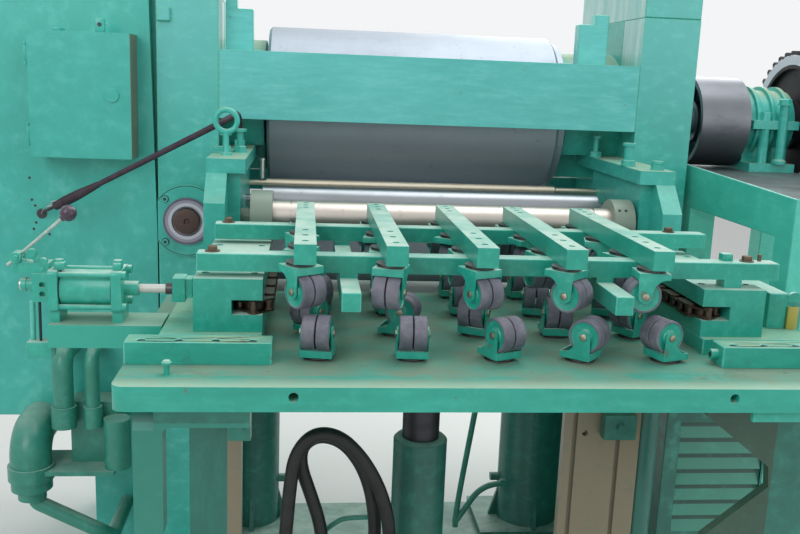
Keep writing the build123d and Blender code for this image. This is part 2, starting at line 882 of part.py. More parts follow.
# Guide columns: a box column and a narrow way on the left, a wide grooved way and a round column on the right
left_guide = block(*left_column, column_front, column_back, sill_height, column_top)
left_guide += block(*left_way, column_front, column_front + way_deep, sill_height, column_top)
right_guide = block(*right_way, column_front, column_front + right_way_plate, sill_height, column_top)
right_guide += block(*right_way_web, column_front, column_back, sill_height, column_top)
for x in groove_places:
    right_guide -= block(
        x - way_groove / 2, x + way_groove / 2, column_front, column_front + groove_sink, sill_height, column_top
    )
right_guide -= bar_y(column_front, column_front + hole_deep, way_hole[0], way_hole[1], way_hole_radius)
round_column = bar_z(sill_height, column_top, round_x, (column_front + column_back) / 2, round_radius)
nodes["guide_columns"] = Compound(children=[left_guide, right_guide + round_column])

# Base cabinet on the right: each louvre is a slope that starts deep and runs out to the panel's face
cabinet = block(cabinet_left, cabinet_right, cabinet_front, cabinet_back, sill_height, cabinet_top)
for i in range(louvre_count):
    top = louvre_top - i * louvre_pitch
    cabinet -= side_shape(
        [
            (cabinet_front - 1, top), (cabinet_front + louvre_deep, top),
            (cabinet_front, top - louvre_pitch + 3), (cabinet_front - 1, top - louvre_pitch + 3),
        ],
        louvre_left, louvre_right,
    )
nodes["right_cabinet"] = cabinet


# Hydraulic pipework in front of and under the left housing
def pipework():
    front = standard_front
    shape = block(tray_left, tray_right, tray_front, front, tray_low, tray_low + tray_thick)
    shape += block(block_left, tray_right, block_front, front, tray_low + tray_thick, pipe_foot)
    shape += bar_z(tray_low + tray_thick, pipe_foot - filter_radius, filter_x, pipe_y, filter_radius)
    big = [(elbow_x, front, elbow_z), (elbow_x, pipe_y, elbow_z), (elbow_x, pipe_y, elbow_low)]
    shape += tube(big, elbow_radius, [elbow_radius * 1.2])
    collar = elbow_radius * 1.12
    shape += bar_z(tray_low - 20, tray_low + 20, elbow_x, pipe_y, collar)
    shape += block(elbow_x, tray_left, pipe_y - drain_radius, front, tray_low, tray_low + tray_thick)
    drain = [
        (elbow_x, pipe_y, elbow_low + 1), (elbow_x + 12, pipe_y, elbow_low - 45), (drain_x, pipe_y, drain_z),
        (drain_x, pipe_y + 110, drain_z - 70), (drain_x, pedestal_front, drain_z - 70),
    ]
    shape += tube(drain, drain_radius, [24, 40, 60])
    shape += bar_z(elbow_low - 30, elbow_low, elbow_x, pipe_y, (elbow_radius + drain_radius) / 2)
    for x, radius in ((pipe_a_x, pipe_a), (pipe_b_x, pipe_b)):
        path = [(x, front, pipe_top), (x, pipe_y, pipe_top), (x, pipe_y, pipe_foot - 40)]
        shape += tube(path, radius, [radius * 1.4])
        shape += bar_z(pipe_foot - 60, pipe_foot, x, pipe_y, radius * 1.25)
        shape += block(x - radius, x + radius, pipe_y, front, pipe_foot - 60, pipe_foot - 10)
    return shape


nodes["hydraulic_pipework"] = pipework()

# Lift table with two rounded front corners and two holes in its front edge
table = block(-table_half, table_half, table_front, table_back, table_under, table_top)
table = fillet(table.edges().filter_by(Axis.Z).group_by(Axis.Y)[0], table_corner)
for x in table_hole_x:
    table -= bar_y(table_front, table_front + hole_deep, x, (table_top + table_under) / 2 + 4, table_hole)
nodes["table_plate"] = table


# Brackets under the table: a knee on the left, a notched plate on the right, shoes, and the cylinder's foot
def left_knee():
    right = knee_left + knee_width
    leg = side_shape(
        [
            (knee_front, knee_low), (knee_front, table_under - knee_bevel), (knee_front + knee_bevel / 2, table_under),
            (knee_front + knee_deep, table_under), (knee_front + knee_deep, knee_low),
        ],
        knee_left, right,
    )
    low = table_under - rail_drop - rail_height
    plate = front_shape(
        [
            (right, knee_plate_low), (right, table_under), (rail_right, table_under), (rail_right, low),
            (right + knee_side, low), (right + knee_side, knee_plate_low),
        ],
        knee_front, knee_front + knee_deep,
    )
    inner = plate.edges().filter_by(Axis.Y).sort_by_distance(
        (right + knee_side, knee_front + knee_deep / 2, low))[0]
    return leg + fillet(inner, knee_round)


def right_plate():
    edge = notch[0][0]
    outline = [
        (edge, table_under), (edge, notch[0][1]), notch[1], notch[2], notch[3], (notch[3][0], notch_plate_low),
        (table_half - base_margin, notch_plate_low), (table_half - base_margin, table_under),
    ]
    return front_shape(outline, notch_plate_front, notch_plate_front + notch_plate_thick)


brackets = [left_knee(), right_plate()]
for x0, x1 in (left_shoe, right_shoe):
    shoe = block(x0, x1, shoe_front, shoe_back, shoe_low, shoe_high)
    shoe += block(x0 + 8, x1 - 8, shoe_back - shoe_hanger, shoe_back, shoe_high, table_under)
    shoe += bar_y(shoe_front - shoe_knob, shoe_front, (x0 + x1) / 2, (shoe_low + shoe_high) / 2, shoe_knob)
    brackets.append(shoe)
foot_front = air_y - cylinder_foot_half
foot_back = air_y + cylinder_foot_half
foot_block = block(air_left, -table_half, foot_front, foot_back, cylinder_foot_low, cylinder_foot_top)
foot_block += block(-table_half, cylinder_foot_end, foot_front, foot_back, table_top, cylinder_foot_top)
brackets.append(foot_block)
nodes["table_brackets"] = Compound(children=brackets)

# Front rails and the bases of the side guides
rails = []
for x0, x1, holes in (
    (-front_rail_outer, -front_rail_inner[0], left_rail_holes), (front_rail_inner[1], front_rail_outer, right_rail_holes)
):
    rail = block(x0, x1, *front_rail_y, table_top, table_top + front_rail_height)
    for x in holes:
        rail -= bar_z(table_top, table_top + front_rail_height, x, rail_hole_y, rail_hole)
    rails.append(rail)
base_back = table_back - 6
base_outer_x = guide_inner + guide_width + base_outer
rails.append(
    block(-base_outer_x, -guide_inner, guide_front - base_margin, base_back, table_top, guide_low - seat_gap)
)
rails.append(block(guide_inner, front_rail_outer, guide_front - base_margin, base_back, table_top, guide_low))
nodes["table_rails"] = Compound(children=rails)

# Side guide blocks with a slot for the chain and holes in their tops
slot_high = slot_low + slot_height
guide_middle = (guide_front + guide_back) / 2


def guide(side, top):
    body = block(side * guide_inner, side * (guide_inner + guide_width), guide_front, guide_back, guide_low, top)
    body -= block(side * guide_inner, side * (guide_inner + slot_deep), guide_front, guide_back, slot_low, slot_high)
    for place in (0.14, 0.86):
        x = side * (guide_inner + place * guide_width)
        for y in (guide_front + 54, guide_middle + 135):
            body -= bar_z(slot_high + 6, top, x, y, block_hole)
    return body


nodes["left_guide_block"] = guide(-1, left_guide_top)
nodes["right_guide_block"] = guide(1, right_guide_top)


# Guide chains: one closed loop of links round a sprocket at each end, with upright pins
def chain_pins(reach):
    """The places of the pins of one loop, as X and Y about its middle."""
    wrap = sprocket_teeth // 2
    steps = link_count // 2 - wrap
    half = steps * link_pitch / 2
    strand = [(-reach, i * link_pitch - half) for i in range(steps)]
    end = []
    for i in range(wrap):
        angle = math.pi * (1 - i / wrap)
        end.append((reach * math.cos(angle), half + reach * math.sin(angle)))
    loop = strand + end
    return loop + [(-x, -y) for x, y in loop], half


def chain(side):
    reach = link_pitch / 2 / math.sin(math.pi / sprocket_teeth)
    pins, half = chain_pins(reach)
    x_middle = side * (guide_inner - chain_proud + link_half + reach)
    height = 6 * link_plate + 5
    plate_face = Rectangle(link_pitch + 2 * link_half, 2 * link_half)
    plate_face = chamfer(plate_face.vertices(), link_chamfer)
    plate = extrude(plate_face, amount=link_plate)
    shapes = []
    for i, (x, y) in enumerate(pins):
        next_x, next_y = pins[(i + 1) % len(pins)]
        turn = math.degrees(math.atan2(next_y - y, next_x - x))
        inset = (i % 2) * link_plate
        for low in (inset, height - link_plate - inset):
            shapes.append(Pos((x + next_x) / 2, (y + next_y) / 2, low) * Rot(0, 0, turn) * plate)
        shapes.append(bar_z(0, height, x, y, pin_radius))
        shapes.append(bar_z(2 * link_plate, height - 2 * link_plate, x, y, roller_radius))
    for y in (-half, half):
        shapes.append(bar_z(2 * link_plate, height - 2 * link_plate, 0, y, reach - roller_radius + 1))
        shapes.append(bar_z(0, slot_height, 0, y, roller_radius))
    loop = shapes[0].fuse(*shapes[1:])
    return Pos(x_middle, guide_middle, slot_low) * loop


nodes["left_chain"] = chain(-1)
nodes["right_chain"] = chain(1)
nodes["side_plate"] = block(*side_plate_x, *side_plate_y, guide_low, side_plate_top)

# Crossbars, with a spacer under their right ends
under_bars = bar_top - bar_height
low_top = under_bars - crossbar_height
crossbars = []
for y in crossbar_y:
    front = y - bar_size / 2
    back = y + bar_size / 2
    bar = block(crossbar_left, crossbar_right, front, back, low_top, under_bars)
    bar += block(spacer_inner, spacer_inner + spacer_width, front, back, right_guide_top, low_top)
    crossbars.append(bar)
nodes["crossbars"] = Compound(children=crossbars)

# Caster bars with three holes near each end, and the two lower bars with packing under the crossbars
bar_places = [bar_shift + bar_pitch * (i - 2) for i in range(5)]
bar_back = bar_front + bar_length
bars = []
for x in bar_places:
    bar = block(x - bar_size / 2, x + bar_size / 2, bar_front, bar_back, under_bars, bar_top)
    for along in hole_rows:
        for y in (bar_front + along * 1.6 + 20, bar_back - along - 6):
            bar -= bar_z(bar_top - 12, bar_top, x, y, bar_hole)
    bars.append(bar)
nodes["caster_bars"] = Compound(children=bars)
lower_bars = []
for x0, x1 in lower_bar_places:
    low = lower_bar_top - lower_bar_height
    bar = block(x0, x1, lower_bar_front, lower_bar_front + lower_bar_length, low, lower_bar_top)
    for y in crossbar_y:
        bar += block(x0, x1, y - bar_size / 2, y + bar_size / 2, lower_bar_top, low_top)
    lower_bars.append(bar)
nodes["lower_bars"] = Compound(children=lower_bars)


def fork(plain):
    """A pressed caster fork with its race up: the swivel axis is Z and the axle trails along minus Y."""
    half = wheel_width + wheel_gap / 2 + side_clear
    crown = caster_height - race_height - stem_height
    lip = crown - crown_lip
    boss_back = -caster_trail - fork_boss
    boss_front = -caster_trail + fork_boss
    x0 = -half - fork_plate
    outline = Polyline(
        (x0, crown_reach, lip), (x0, crown_reach, crown), (x0, -crown_reach, crown), (x0, boss_back, wheel_radius)
    )
    boss = ThreePointArc(
        (x0, boss_back, wheel_radius), (x0, -caster_trail, wheel_radius - fork_boss), (x0, boss_front, wheel_radius)
    )
    bow = ThreePointArc(
        (x0, boss_front, wheel_radius),
        (x0, boss_front + 0.36 * (crown_reach - boss_front), wheel_radius + 0.68 * (lip - wheel_radius)),
        (x0, crown_reach, lip),
    )
    hood = extrude(make_face([*outline.edges(), boss, bow]), amount=-2 * x0, dir=(1, 0, 0))
    if not plain:
        hood = fillet(hood.faces().sort_by(Axis.Z)[-1].edges().filter_by(Axis.Y), fork_plate)
    hood -= block(-half, half, -2 * crown_reach, 2 * crown_reach, 0, crown - fork_plate)
    hood += bar_z(crown, crown + stem_height, 0, 0, stem_radius)
    hood += bar_z(crown + stem_height, caster_height - seat_gap, 0, 0, race_radius)
    hood += bar_x(x0, -x0, -caster_trail, wheel_radius, axle_radius)
    if not plain:
        hood += bar_x(x0 - axle_proud, x0, -caster_trail, wheel_radius, axle_head)
        hood += bar_x(-x0, -x0 + axle_proud, -caster_trail, wheel_radius, axle_head)
    return hood


def wheels(plain):
    """The two wheels of a caster, side by side on one sleeve."""
    half = wheel_width + wheel_gap / 2
    bore = axle_radius + running_fit
    if plain:
        right = [(half, wheel_radius), (half, bore)]
    else:
        right = [
            (wheel_gap / 2, hub_radius), (wheel_gap / 2, wheel_radius - wheel_edge),
            (wheel_gap / 2 + wheel_edge, wheel_radius), (half - wheel_edge, wheel_radius),
            (half, wheel_radius - wheel_edge), (half, hub_radius), (half - hub_sink, hub_radius),
            (half - hub_sink, bore),
        ]
    left = [(-x, radius) for x, radius in reversed(right)]
    return turned(left + right, -caster_trail, wheel_radius)


hang = under_bars - caster_height
lower_places = [bar_pitch * (i - 2) for i in range(5)]
lower_rise = table_top + caster_height
upside_down = Rot(180, 0, 0)
upper_rows = ((1, 165.0, 9.0), (2, 200.0, -31.0), (3, 176.0, 2.0))
lower_rows = ((2, 205.0, -13.0), (3, 172.0, 4.0))
upper_rear = []
lower_all = []
for i in range(5):
    upper_x = bar_places[i] + upper_shift
    upper = Pos(upper_x, upper_front, hang) * Rot(0, 0, upper_turn[i])
    nodes["upper_fork_%d" % (i + 1)] = upper * fork(False)
    nodes["upper_wheels_%d" % (i + 1)] = upper * wheels(False)
    front = Pos(lower_front_x[i], caster_front, lower_rise) * Rot(0, 0, lower_turn[i])
    second = Pos(lower_places[i], caster_front + bar_pitch, lower_rise) * Rot(0, 0, second_turn[i])
    lower_all.append((front * upside_down, False))
    lower_all.append((second * upside_down, True))
    for row, first, step in upper_rows:
        y = upper_front + row * bar_pitch
        upper_rear.append((Pos(upper_x, y, hang) * Rot(0, 0, first + i * step), True))
    for row, first, step in lower_rows:
        y = caster_front + row * bar_pitch
        lower_all.append((Pos(lower_places[i], y, lower_rise) * Rot(0, 0, first + i * step) * upside_down, True))
for name, places in (("upper_rear", upper_rear), ("lower", lower_all)):
    nodes[name + "_forks"] = Compound(children=[place * fork(plain) for place, plain in places])
    nodes[name + "_wheels"] = Compound(children=[place * wheels(plain) for place, plain in places])

# Air cylinder that pushes the left guide: a tube between two caps that four tie rods hold, on two feet
cap_left_end = air_left + air_cap_left
cap_right_start = air_right - air_cap_right
air = block(air_left, cap_left_end, air_y - air_cap, air_y + air_cap, air_z - air_cap, air_z + air_cap)
air += block(cap_right_start, air_right, air_y - air_cap, air_y + air_cap, air_z - air_cap, air_z + air_cap)
air = fillet(air.edges().filter_by(Axis.X), tie_inset)
air += bar_x(cap_left_end, cap_right_start, air_y, air_z, air_tube)
air += bar_x(air_right, air_right + neck_length, air_y, air_z, air_neck)
for x0, x1 in ((air_left, cap_left_end), (cap_right_start, air_right)):
    air += block(x0, x1, air_y - air_foot_half, air_y + air_foot_half, cylinder_foot_top, air_z - air_cap)
for dy in (-1, 1):
    for dz in (-1, 1):
        y = air_y + dy * (air_cap - tie_inset)
        z = air_z + dz * (air_cap - tie_inset)
        air += bar_x(cap_left_end, cap_right_start, y, z, tie_radius)
        air += bar_x(air_right, air_right + nut_thick, y, z, tie_nut)
air -= bar_x(push_rod_left - guide_stroke - 4, air_right + neck_length + 1, air_y, air_z, push_rod + running_fit)
nodes["air_cylinder"] = air
coupler_start, coupler_end = coupler_block
rod = bar_x(push_rod_left, coupler_start, air_y, air_z, push_rod)
rod += bar_x(coupler_left, coupler_start, air_y, air_z, coupler_nut)
rod += block(coupler_start, coupler_end, air_y - coupler_half, air_y + coupler_half,
             air_z - coupler_low, air_z + coupler_high)
rod += block(coupler_end, coupler_end + coupler_plate, air_y - coupler_half + 4, air_y + coupler_half - 4,
             air_z - coupler_low + 7, air_z + coupler_high - 2)
rod += bar_x(coupler_end + coupler_plate, -guide_inner - guide_width, air_y, air_z, coupler_plate)
nodes["cylinder_rod"] = rod

# Hand valve on the end of the air cylinder, with two ears that hold its lever
valve = block(valve_left, air_left, air_y - valve_half, air_y + valve_half, valve_low, valve_high)
valve += block(
    pivot_x + fork_ear / 2, air_left - 2, air_y - 0.8 * valve_half, air_y + 0.8 * valve_half,
    valve_high, valve_high + valve_arm,
)
for y in (air_y - 1.75 * fork_ear, air_y + 0.75 * fork_ear):
    valve += block(pivot_x - fork_ear, pivot_x + fork_ear, y, y + fork_ear, valve_high, pivot_z + fork_ear)
valve -= bar_y(air_y - valve_half, air_y + valve_half, pivot_x, pivot_z, pivot_radius + running_fit)
for z in valve_holes:
    valve -= bar_y(air_y - valve_half, air_y - valve_half / 2, valve_hole_x, z, fork_ear * 0.7)
nodes["hand_valve"] = valve


# Valve lever: a pivot pin, a slim rod with a short tail and a ball knob
def lever():
    slope = math.degrees(math.atan2(knob_x - pivot_x, knob_z - pivot_z))
    length = math.hypot(knob_x - pivot_x, knob_z - pivot_z)
    pin = bar_y(air_y - 2 * fork_ear, air_y + 2 * fork_ear, pivot_x, pivot_z, pivot_radius)
    stick = Pos(0, 0, (length - lever_tail) / 2) * Cylinder(lever_radius, length + lever_tail)
    stick += Pos(0, 0, length) * Sphere(knob_radius)
    return pin + Pos(pivot_x, air_y, pivot_z) * Rot(0, slope, 0) * stick


nodes["valve_lever"] = lever()

# Hoses of the lift: each stands up from a fitting on the floor frame and goes over to the lift cylinder
for number, route in ((1, hose_1_route), (2, hose_2_route)):
    nodes["lift_hose_%d" % number] = tube(route, hose_radius, corner_radii(route))
nodes["roll_cable"] = tube(cable_route, cable_radius, cable_bends)

os.makedirs("parts", exist_ok=True)
for name, shape in nodes.items():
    export_step(shape if isinstance(shape, Compound) else Compound(children=[shape]), "parts/%s.step" % name)
print(len(nodes), "nodes")
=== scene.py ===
# %% [markdown]
# # An embossing machine around its CAD frame
# A roll embossing machine presses a pattern into a sheet between a large engraved roll and a backing roll.
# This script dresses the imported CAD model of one: it loads the solids, sets up the camera, light and floor,
# mixes the paints and metals out of nodes, and models the small parts that a CAD source leaves out.
# Everything is in metres. X runs across the machine to its drive side, Y runs from the feed table back to
# the rolls, and Z is up. The origin is on the floor, on the feed table's centre line, at the middle of the
# front cross sill.

# %% Load the frame
import math

import bmesh
import bpy
from mathutils import Matrix, Vector


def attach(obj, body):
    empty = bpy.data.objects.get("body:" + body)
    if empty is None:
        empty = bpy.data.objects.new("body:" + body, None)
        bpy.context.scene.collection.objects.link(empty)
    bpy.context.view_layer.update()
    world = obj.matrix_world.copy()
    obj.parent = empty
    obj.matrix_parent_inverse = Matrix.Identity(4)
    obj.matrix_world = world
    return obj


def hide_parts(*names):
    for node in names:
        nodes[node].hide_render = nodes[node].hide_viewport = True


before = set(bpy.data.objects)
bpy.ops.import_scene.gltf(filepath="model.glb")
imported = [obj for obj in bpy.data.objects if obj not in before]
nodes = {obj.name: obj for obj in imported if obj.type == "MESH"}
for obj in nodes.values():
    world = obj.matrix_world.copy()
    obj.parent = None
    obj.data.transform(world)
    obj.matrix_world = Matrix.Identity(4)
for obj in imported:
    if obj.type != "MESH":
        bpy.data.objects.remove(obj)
scene = bpy.context.scene
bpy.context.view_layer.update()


def mm(*values):
    """Millimetres as a vector in metres."""
    return Vector(values) / 1000


def new_object(name, data):
    """An object in the scene."""
    made = bpy.data.objects.new(name, data)
    scene.collection.objects.link(made)
    return made


# %% [markdown]
# ## Camera
# The camera was worked out from the perspective of the photograph: where it stood, how far it was turned,
# tilted and rolled, and its focal length. A camera looks along its own minus Z, with Y up, so its three
# axes are put into the columns of its matrix.

# %% Camera
camera_place = mm(-349.1, -2044.0, 1503.7)
camera_turn = math.radians(6.0895)
camera_dip = math.radians(11.5841)
camera_roll = math.radians(-2.2543)
focal_pixels = 915.72
image_width = 800
sensor_width = 36.0

flat = math.cos(camera_dip)
ahead = Vector((math.sin(camera_turn) * flat, math.cos(camera_turn) * flat, -math.sin(camera_dip)))
level = Vector((math.cos(camera_turn), -math.sin(camera_turn), 0))
down = ahead.cross(level)
right = level * math.cos(camera_roll) + down * math.sin(camera_roll)
up = level * math.sin(camera_roll) - down * math.cos(camera_roll)
lens = bpy.data.cameras.new("camera")
lens.sensor_width = sensor_width
lens.lens = focal_pixels / image_width * sensor_width
camera = new_object("camera", lens)
camera.matrix_world = Matrix.Translation(camera_place) @ Matrix((right, up, -ahead)).transposed().to_4x4()
scene.camera = camera
print("lens", round(lens.lens, 2), "mm")

# %% [markdown]
# ## Hoses and cable
# Two hydraulic hoses rise from a manifold on the floor frame and fold over to the lift cylinder, and a
# taped cable comes out of the left housing, runs through the eyebolt and ends in a gland on the roll
# bracket. Each follows a smooth NURBS line through the same points as its CAD tube. Order 3 keeps the line
# near its points, and it is set after the points are added, because a spline with fewer points cannot take
# it. The cable thins out to a bundle of wires where it starts, and those wires are modelled further down.


# %% Cords
def spline_tube(name, route, radius):
    """A curve object with one smooth open spline. Its bevel is 1 m, so each point's radius is in metres."""
    curve = bpy.data.curves.new(name, "CURVE")
    curve.dimensions = "3D"
    spline = curve.splines.new("NURBS")
    spline.points.add(len(route) - 1)
    for point, place in zip(spline.points, route):
        point.co = (*mm(*place), 1)
        point.radius = radius / 1000
    spline.order_u = 3
    spline.use_endpoint_u = True
    spline.resolution_u = 10
    curve.bevel_depth = 1
    curve.bevel_resolution = 5
    curve.use_fill_caps = True
    return new_object(name, curve)


hose_1_route = [
    (-392, -105, 140), (-392, -105, 190), (-391, -120, 270), (-388, -137, 355), (-384, -152, 440),
    (-378, -162, 530), (-372, -168, 620), (-362, -170, 700), (-322, -170, 748), (-268, -170, 742),
    (-220, -169, 696), (-182, -166, 632), (-157, -158, 562), (-146, -148, 490), (-146, -134, 415),
    (-151, -120, 350), (-153, -110, 310), (-153, -110, 262),
]
hose_2_route = [
    (-330, -82, 140), (-330, -82, 190), (-314, -92, 270), (-300, -102, 350), (-294, -110, 430),
    (-303, -118, 510), (-328, -125, 590), (-350, -130, 655), (-348, -132, 702), (-312, -132, 728),
    (-262, -132, 716), (-222, -130, 670), (-196, -126, 612), (-182, -118, 545), (-176, -104, 478),
    (-177, -86, 420), (-178, -66, 375), (-178, -66, 335),
]
cable_route = [
    (-1069, 575, 1106), (-1069, 468, 1106), (-896, 428, 1200), (-688, 379, 1312), (-541, 345, 1391),
    (-531, 515, 1400), (-531, 515, 1324),
]
cable_thickness = (0.33, 0.33, 0.85, 0.85, 0.95, 1.0, 0.9)
cords = {}
for name, route, radius, length, node, slot in (
    ("hose_outer", hose_1_route, 15, 1.19, "lift_hose_1", "black_rubber"),
    ("hose_inner", hose_2_route, 15, 1.07, "lift_hose_2", "black_rubber"),
    ("cable", cable_route, 9, 0.87, "roll_cable", "cable_wrap"),
):
    cord = spline_tube(name, route, radius)
    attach(cord, "machine")
    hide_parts(node)
    if name == "cable":
        for point, share in zip(cord.data.splines[0].points, cable_thickness):
            point.radius *= share
    cords[name] = cord
print("cords", ", ".join(cords))

# %% [markdown]
# ## Shader maths
# A finish is a small tree of nodes. Writing it as plain sums is easier to read than linking nodes by hand,
# so the class below wraps one output of a node and lets the ordinary operators add Math nodes. Every other
# kind of node comes from one method of the finish itself.


# %% Shader helper classes
class Wire:
    """One output of a node, which sums and products can be written with."""

    def __init__(self, finish, socket):
        self.finish = finish
        self.socket = socket

    def maths(self, operation, *others):
        return self.finish.node("ShaderNodeMath", {"operation": operation}, dict(enumerate((self, *others))))

    def __add__(self, other):
        return self.maths("ADD", other)

    def __sub__(self, other):
        return self.maths("SUBTRACT", other)

    def __rsub__(self, other):
        return (self - other) * -1

    def __abs__(self):
        return self.maths("ABSOLUTE")

    def fraction(self):
        return self.maths("FRACT")

    def __mul__(self, other):
        return self.maths("MULTIPLY", other)

    def __truediv__(self, other):
        return self.maths("DIVIDE", other)

    def __gt__(self, other):
        return self.maths("GREATER_THAN", other)

    def __lt__(self, other):
        return self.maths("LESS_THAN", other)

    __radd__ = __add__
    __rmul__ = __mul__

    def between(self, low, high):
        """0 below low, 1 above high, and a smooth rise from one to the other."""
        sockets = {"Value": self, "From Min": low, "From Max": high}
        return self.finish.node("ShaderNodeMapRange", {"interpolation_type": "SMOOTHSTEP"}, sockets)

    def within(self, low, high):
        """1 between two sharp limits and 0 beyond them."""
        return (self > low) * (self < high)


class Finish:
    """One material: a Principled shader and the nodes that feed it."""

    def __init__(self, name, **plain):
        self.material = bpy.data.materials.new(name)
        self.material.use_nodes = True
        self.tree = self.material.node_tree
        self.tree.nodes.clear()
        self.shader = self.tree.nodes.new("ShaderNodeBsdfPrincipled")
        end = self.tree.nodes.new("ShaderNodeOutputMaterial")
        self.tree.links.new(self.shader.outputs[0], end.inputs["Surface"])
        for key, value in plain.items():
            self.shader.inputs[key.replace("_", " ")].default_value = value
        self.place = self.node("ShaderNodeTexCoord", out="Object")
        self.facing = self.node("ShaderNodeTexCoord", out="Normal")

    def node(self, kind, settings=None, sockets=None, out=0):
        """A node of any kind: its settings first, then the value or link of each socket."""
        made = self.tree.nodes.new(kind)
        for key, value in (settings or {}).items():
            setattr(made, key, value)
        for key, value in (sockets or {}).items():
            if isinstance(value, Wire):
                self.tree.links.new(value.socket, made.inputs[key])
            else:
                made.inputs[key].default_value = value
        return Wire(self, made.outputs[out])

    def part(self, axis, of=None):
        """One component of the place, or of another vector."""
        return self.node("ShaderNodeSeparateXYZ", None, {0: of or self.place}, out=axis)

    def facing_up(self, low=0.8):
        """1 where the surface looks up, 0 where it doesn't."""
        return self.part(2, self.facing).between(low, 0.95)

    def noise(self, scale, detail, rough, stretch=None):
        """Cloudy values from 0 to 1 around 0.5; stretch scales the place along each axis."""
        place = self.place
        if stretch:
            place = self.node("ShaderNodeMapping", None, {"Vector": self.place, "Scale": stretch})
        sockets = {"Vector": place, "Scale": scale, "Detail": detail, "Roughness": rough}
        return self.node("ShaderNodeTexNoise", {"normalize": True}, sockets)

    def mix(self, first, second, share):
        """One colour into another; a plain colour is red, green and blue as a screen shows them."""
        first, second = (tint(*part) if isinstance(part, tuple) else part for part in (first, second))
        return self.node("ShaderNodeMix", {"data_type": "RGBA"}, {0: share, 6: first, 7: second}, out=2)

    def paint(self, colour=None, roughness=None, metallic=None, height=None, depth=0.001, strength=0.5):
        """Links what varies over the surface to the shader."""
        for key, value in (("Base Color", colour), ("Roughness", roughness), ("Metallic", metallic)):
            if isinstance(value, Wire):
                self.tree.links.new(value.socket, self.shader.inputs[key])
            elif value is not None:
                self.shader.inputs[key].default_value = value
        if height is not None:
            sockets = {"Height": height, "Distance": depth, "Strength": strength}
            bump = self.node("ShaderNodeBump", None, sockets)
            self.tree.links.new(bump.socket, self.shader.inputs["Normal"])
        return self


def tint(red, green, blue):
    """A colour read off a screen, 0 to 255, as the linear colour that a shader takes."""
    shares = [value / 255 for value in (red, green, blue)]
    return tuple(s / 12.92 if s <= 0.04045 else ((s + 0.055) / 1.055) ** 2.4 for s in shares) + (1.0,)


# %% [markdown]
# ## Green enamel
# The whole machine was brushed over with one glossy blue-green enamel. What makes it look real is what
# happened since: strokes that catch the light, a slow drift in colour, dust on every face that looks up,
# dark grease in patches, and thin pale paint on the edges. All patterns read Object coordinates, so they
# stay on the surface from every side. A patch is a mask and the colour that shows through it, such as a
# bare slideway on a painted casting.

# %% Enamel recipe
plain_green = ((46, 160, 146), (60, 184, 170), (122, 212, 200))
# A lighter copy of the paint for the cross beams high up: a painted haze of light.
painted_haze_green = ((74, 178, 170), (100, 202, 198), (146, 222, 216))
fresh_green = ((30, 144, 126), (44, 170, 150), (98, 202, 182))
pipe_green = ((32, 112, 96), (48, 140, 120), (90, 176, 156))
# A darker copy of the paint: painted shade for the cabinet, the columns, the frame and the parts under the
# table.
shade_green = ((26, 88, 76), (40, 118, 104), (72, 156, 138))
pale_dust = (190, 212, 198)
grease_tone = (34, 62, 52)
rust_tone = (112, 78, 52)


def enamel(name, strokes, greens=plain_green, dust=0.5, grime=0.3, pale=0.3, gloss=0.28, top=pale_dust,
           wear=0.0, patches=(), spare=None):
    """Brushed green paint: strokes are the stretch of the brush marks, the rest are shares from 0 to 1."""
    deep, mid, light = greens
    finish = Finish(name, Coat_Weight=0.2, Coat_Roughness=0.22)
    drift = finish.noise(2.3, 4.0, 0.55).between(0.3, 0.72)
    marks = finish.noise(3.0, 5.0, 0.6, stretch=strokes)
    speck = finish.noise(46.0, 4.0, 0.65)
    colour = finish.mix(deep, mid, drift * 0.5 + marks.between(0.25, 0.7) * 0.4 + 0.15)
    colour = finish.mix(colour, light, marks.between(0.5, 0.8) * pale + drift * pale * 0.2)
    colour = finish.mix(colour, light, speck.between(0.5, 0.75) * 0.12)
    settled = finish.noise(9.0, 5.0, 0.62).between(0.32, 0.66)
    layer = finish.facing_up(0.55) * (settled * 0.6 + 0.4) * dust
    if spare:
        layer = layer * (1 - spare(finish))
    colour = finish.mix(colour, top, layer)
    grease = finish.noise(5.0, 6.0, 0.68).between(0.56, 0.72) * speck.between(0.35, 0.6)
    colour = finish.mix(colour, grease_tone, grease * grime)
    chip_level = 0.69 - 0.12 * wear
    chips = finish.noise(21.0, 5.0, 0.7).between(chip_level, chip_level + 0.02)
    colour = finish.mix(colour, rust_tone, chips * (0.35 + 0.6 * wear))
    for mask, shown in patches:
        colour = finish.mix(colour, finish.mix(shown, colour, speck.between(0.5, 0.8) * 0.3), mask(finish))
    roughness = gloss + marks * 0.12 + layer * 0.6 + grease * 0.15
    height = marks * 0.7 + speck * 0.12 - chips * 0.3
    return finish.paint(colour, roughness, height=height, depth=0.0016, strength=0.4)


# %% [markdown]
# The masks read the place in metres. The inner faces of the standards above the beam carry a painted pale
# reflection and the standards a painted haze towards the top, the lift's slideways are machined bare, the
# flange shows its seal and shaft, and the table kept fresh paint only along its front edge. Each louvre has a
# painted lit face and a painted shadow in its upper part, the drive shelf carries black grease, and the
# brackets under the table carry painted light on the left and painted shade on the right.

# %% Places of the masks
flange_centre = (-0.675, 1.095)
gear_centre = (0.84, 1.408)
louvre_sides = (0.562, 0.772)
louvre_low = 0.4365
louvre_high = 0.72
louvre_pitch = 0.0405
plate_level = 0.93
rod_end = -0.6135


# %% Masks
def painted_reflection(finish):
    """A painted reflection on the inner faces of the standards above the beam, streaked from top to bottom.
    """
    sideways = abs(finish.part(0, finish.facing)).between(0.6, 0.9) * (abs(finish.part(0)) < 0.6)
    streak = finish.noise(3.0, 4.0, 0.6, stretch=(12, 12, 2)).between(0.1, 0.8)
    return sideways * finish.part(2).between(1.5, 1.62) * streak * 0.8


def slideway(finish):
    """The machined strips of the two lift columns."""
    x = finish.part(0)
    return x.within(-0.5075, -0.4765) + x.within(0.2345, 0.4115)


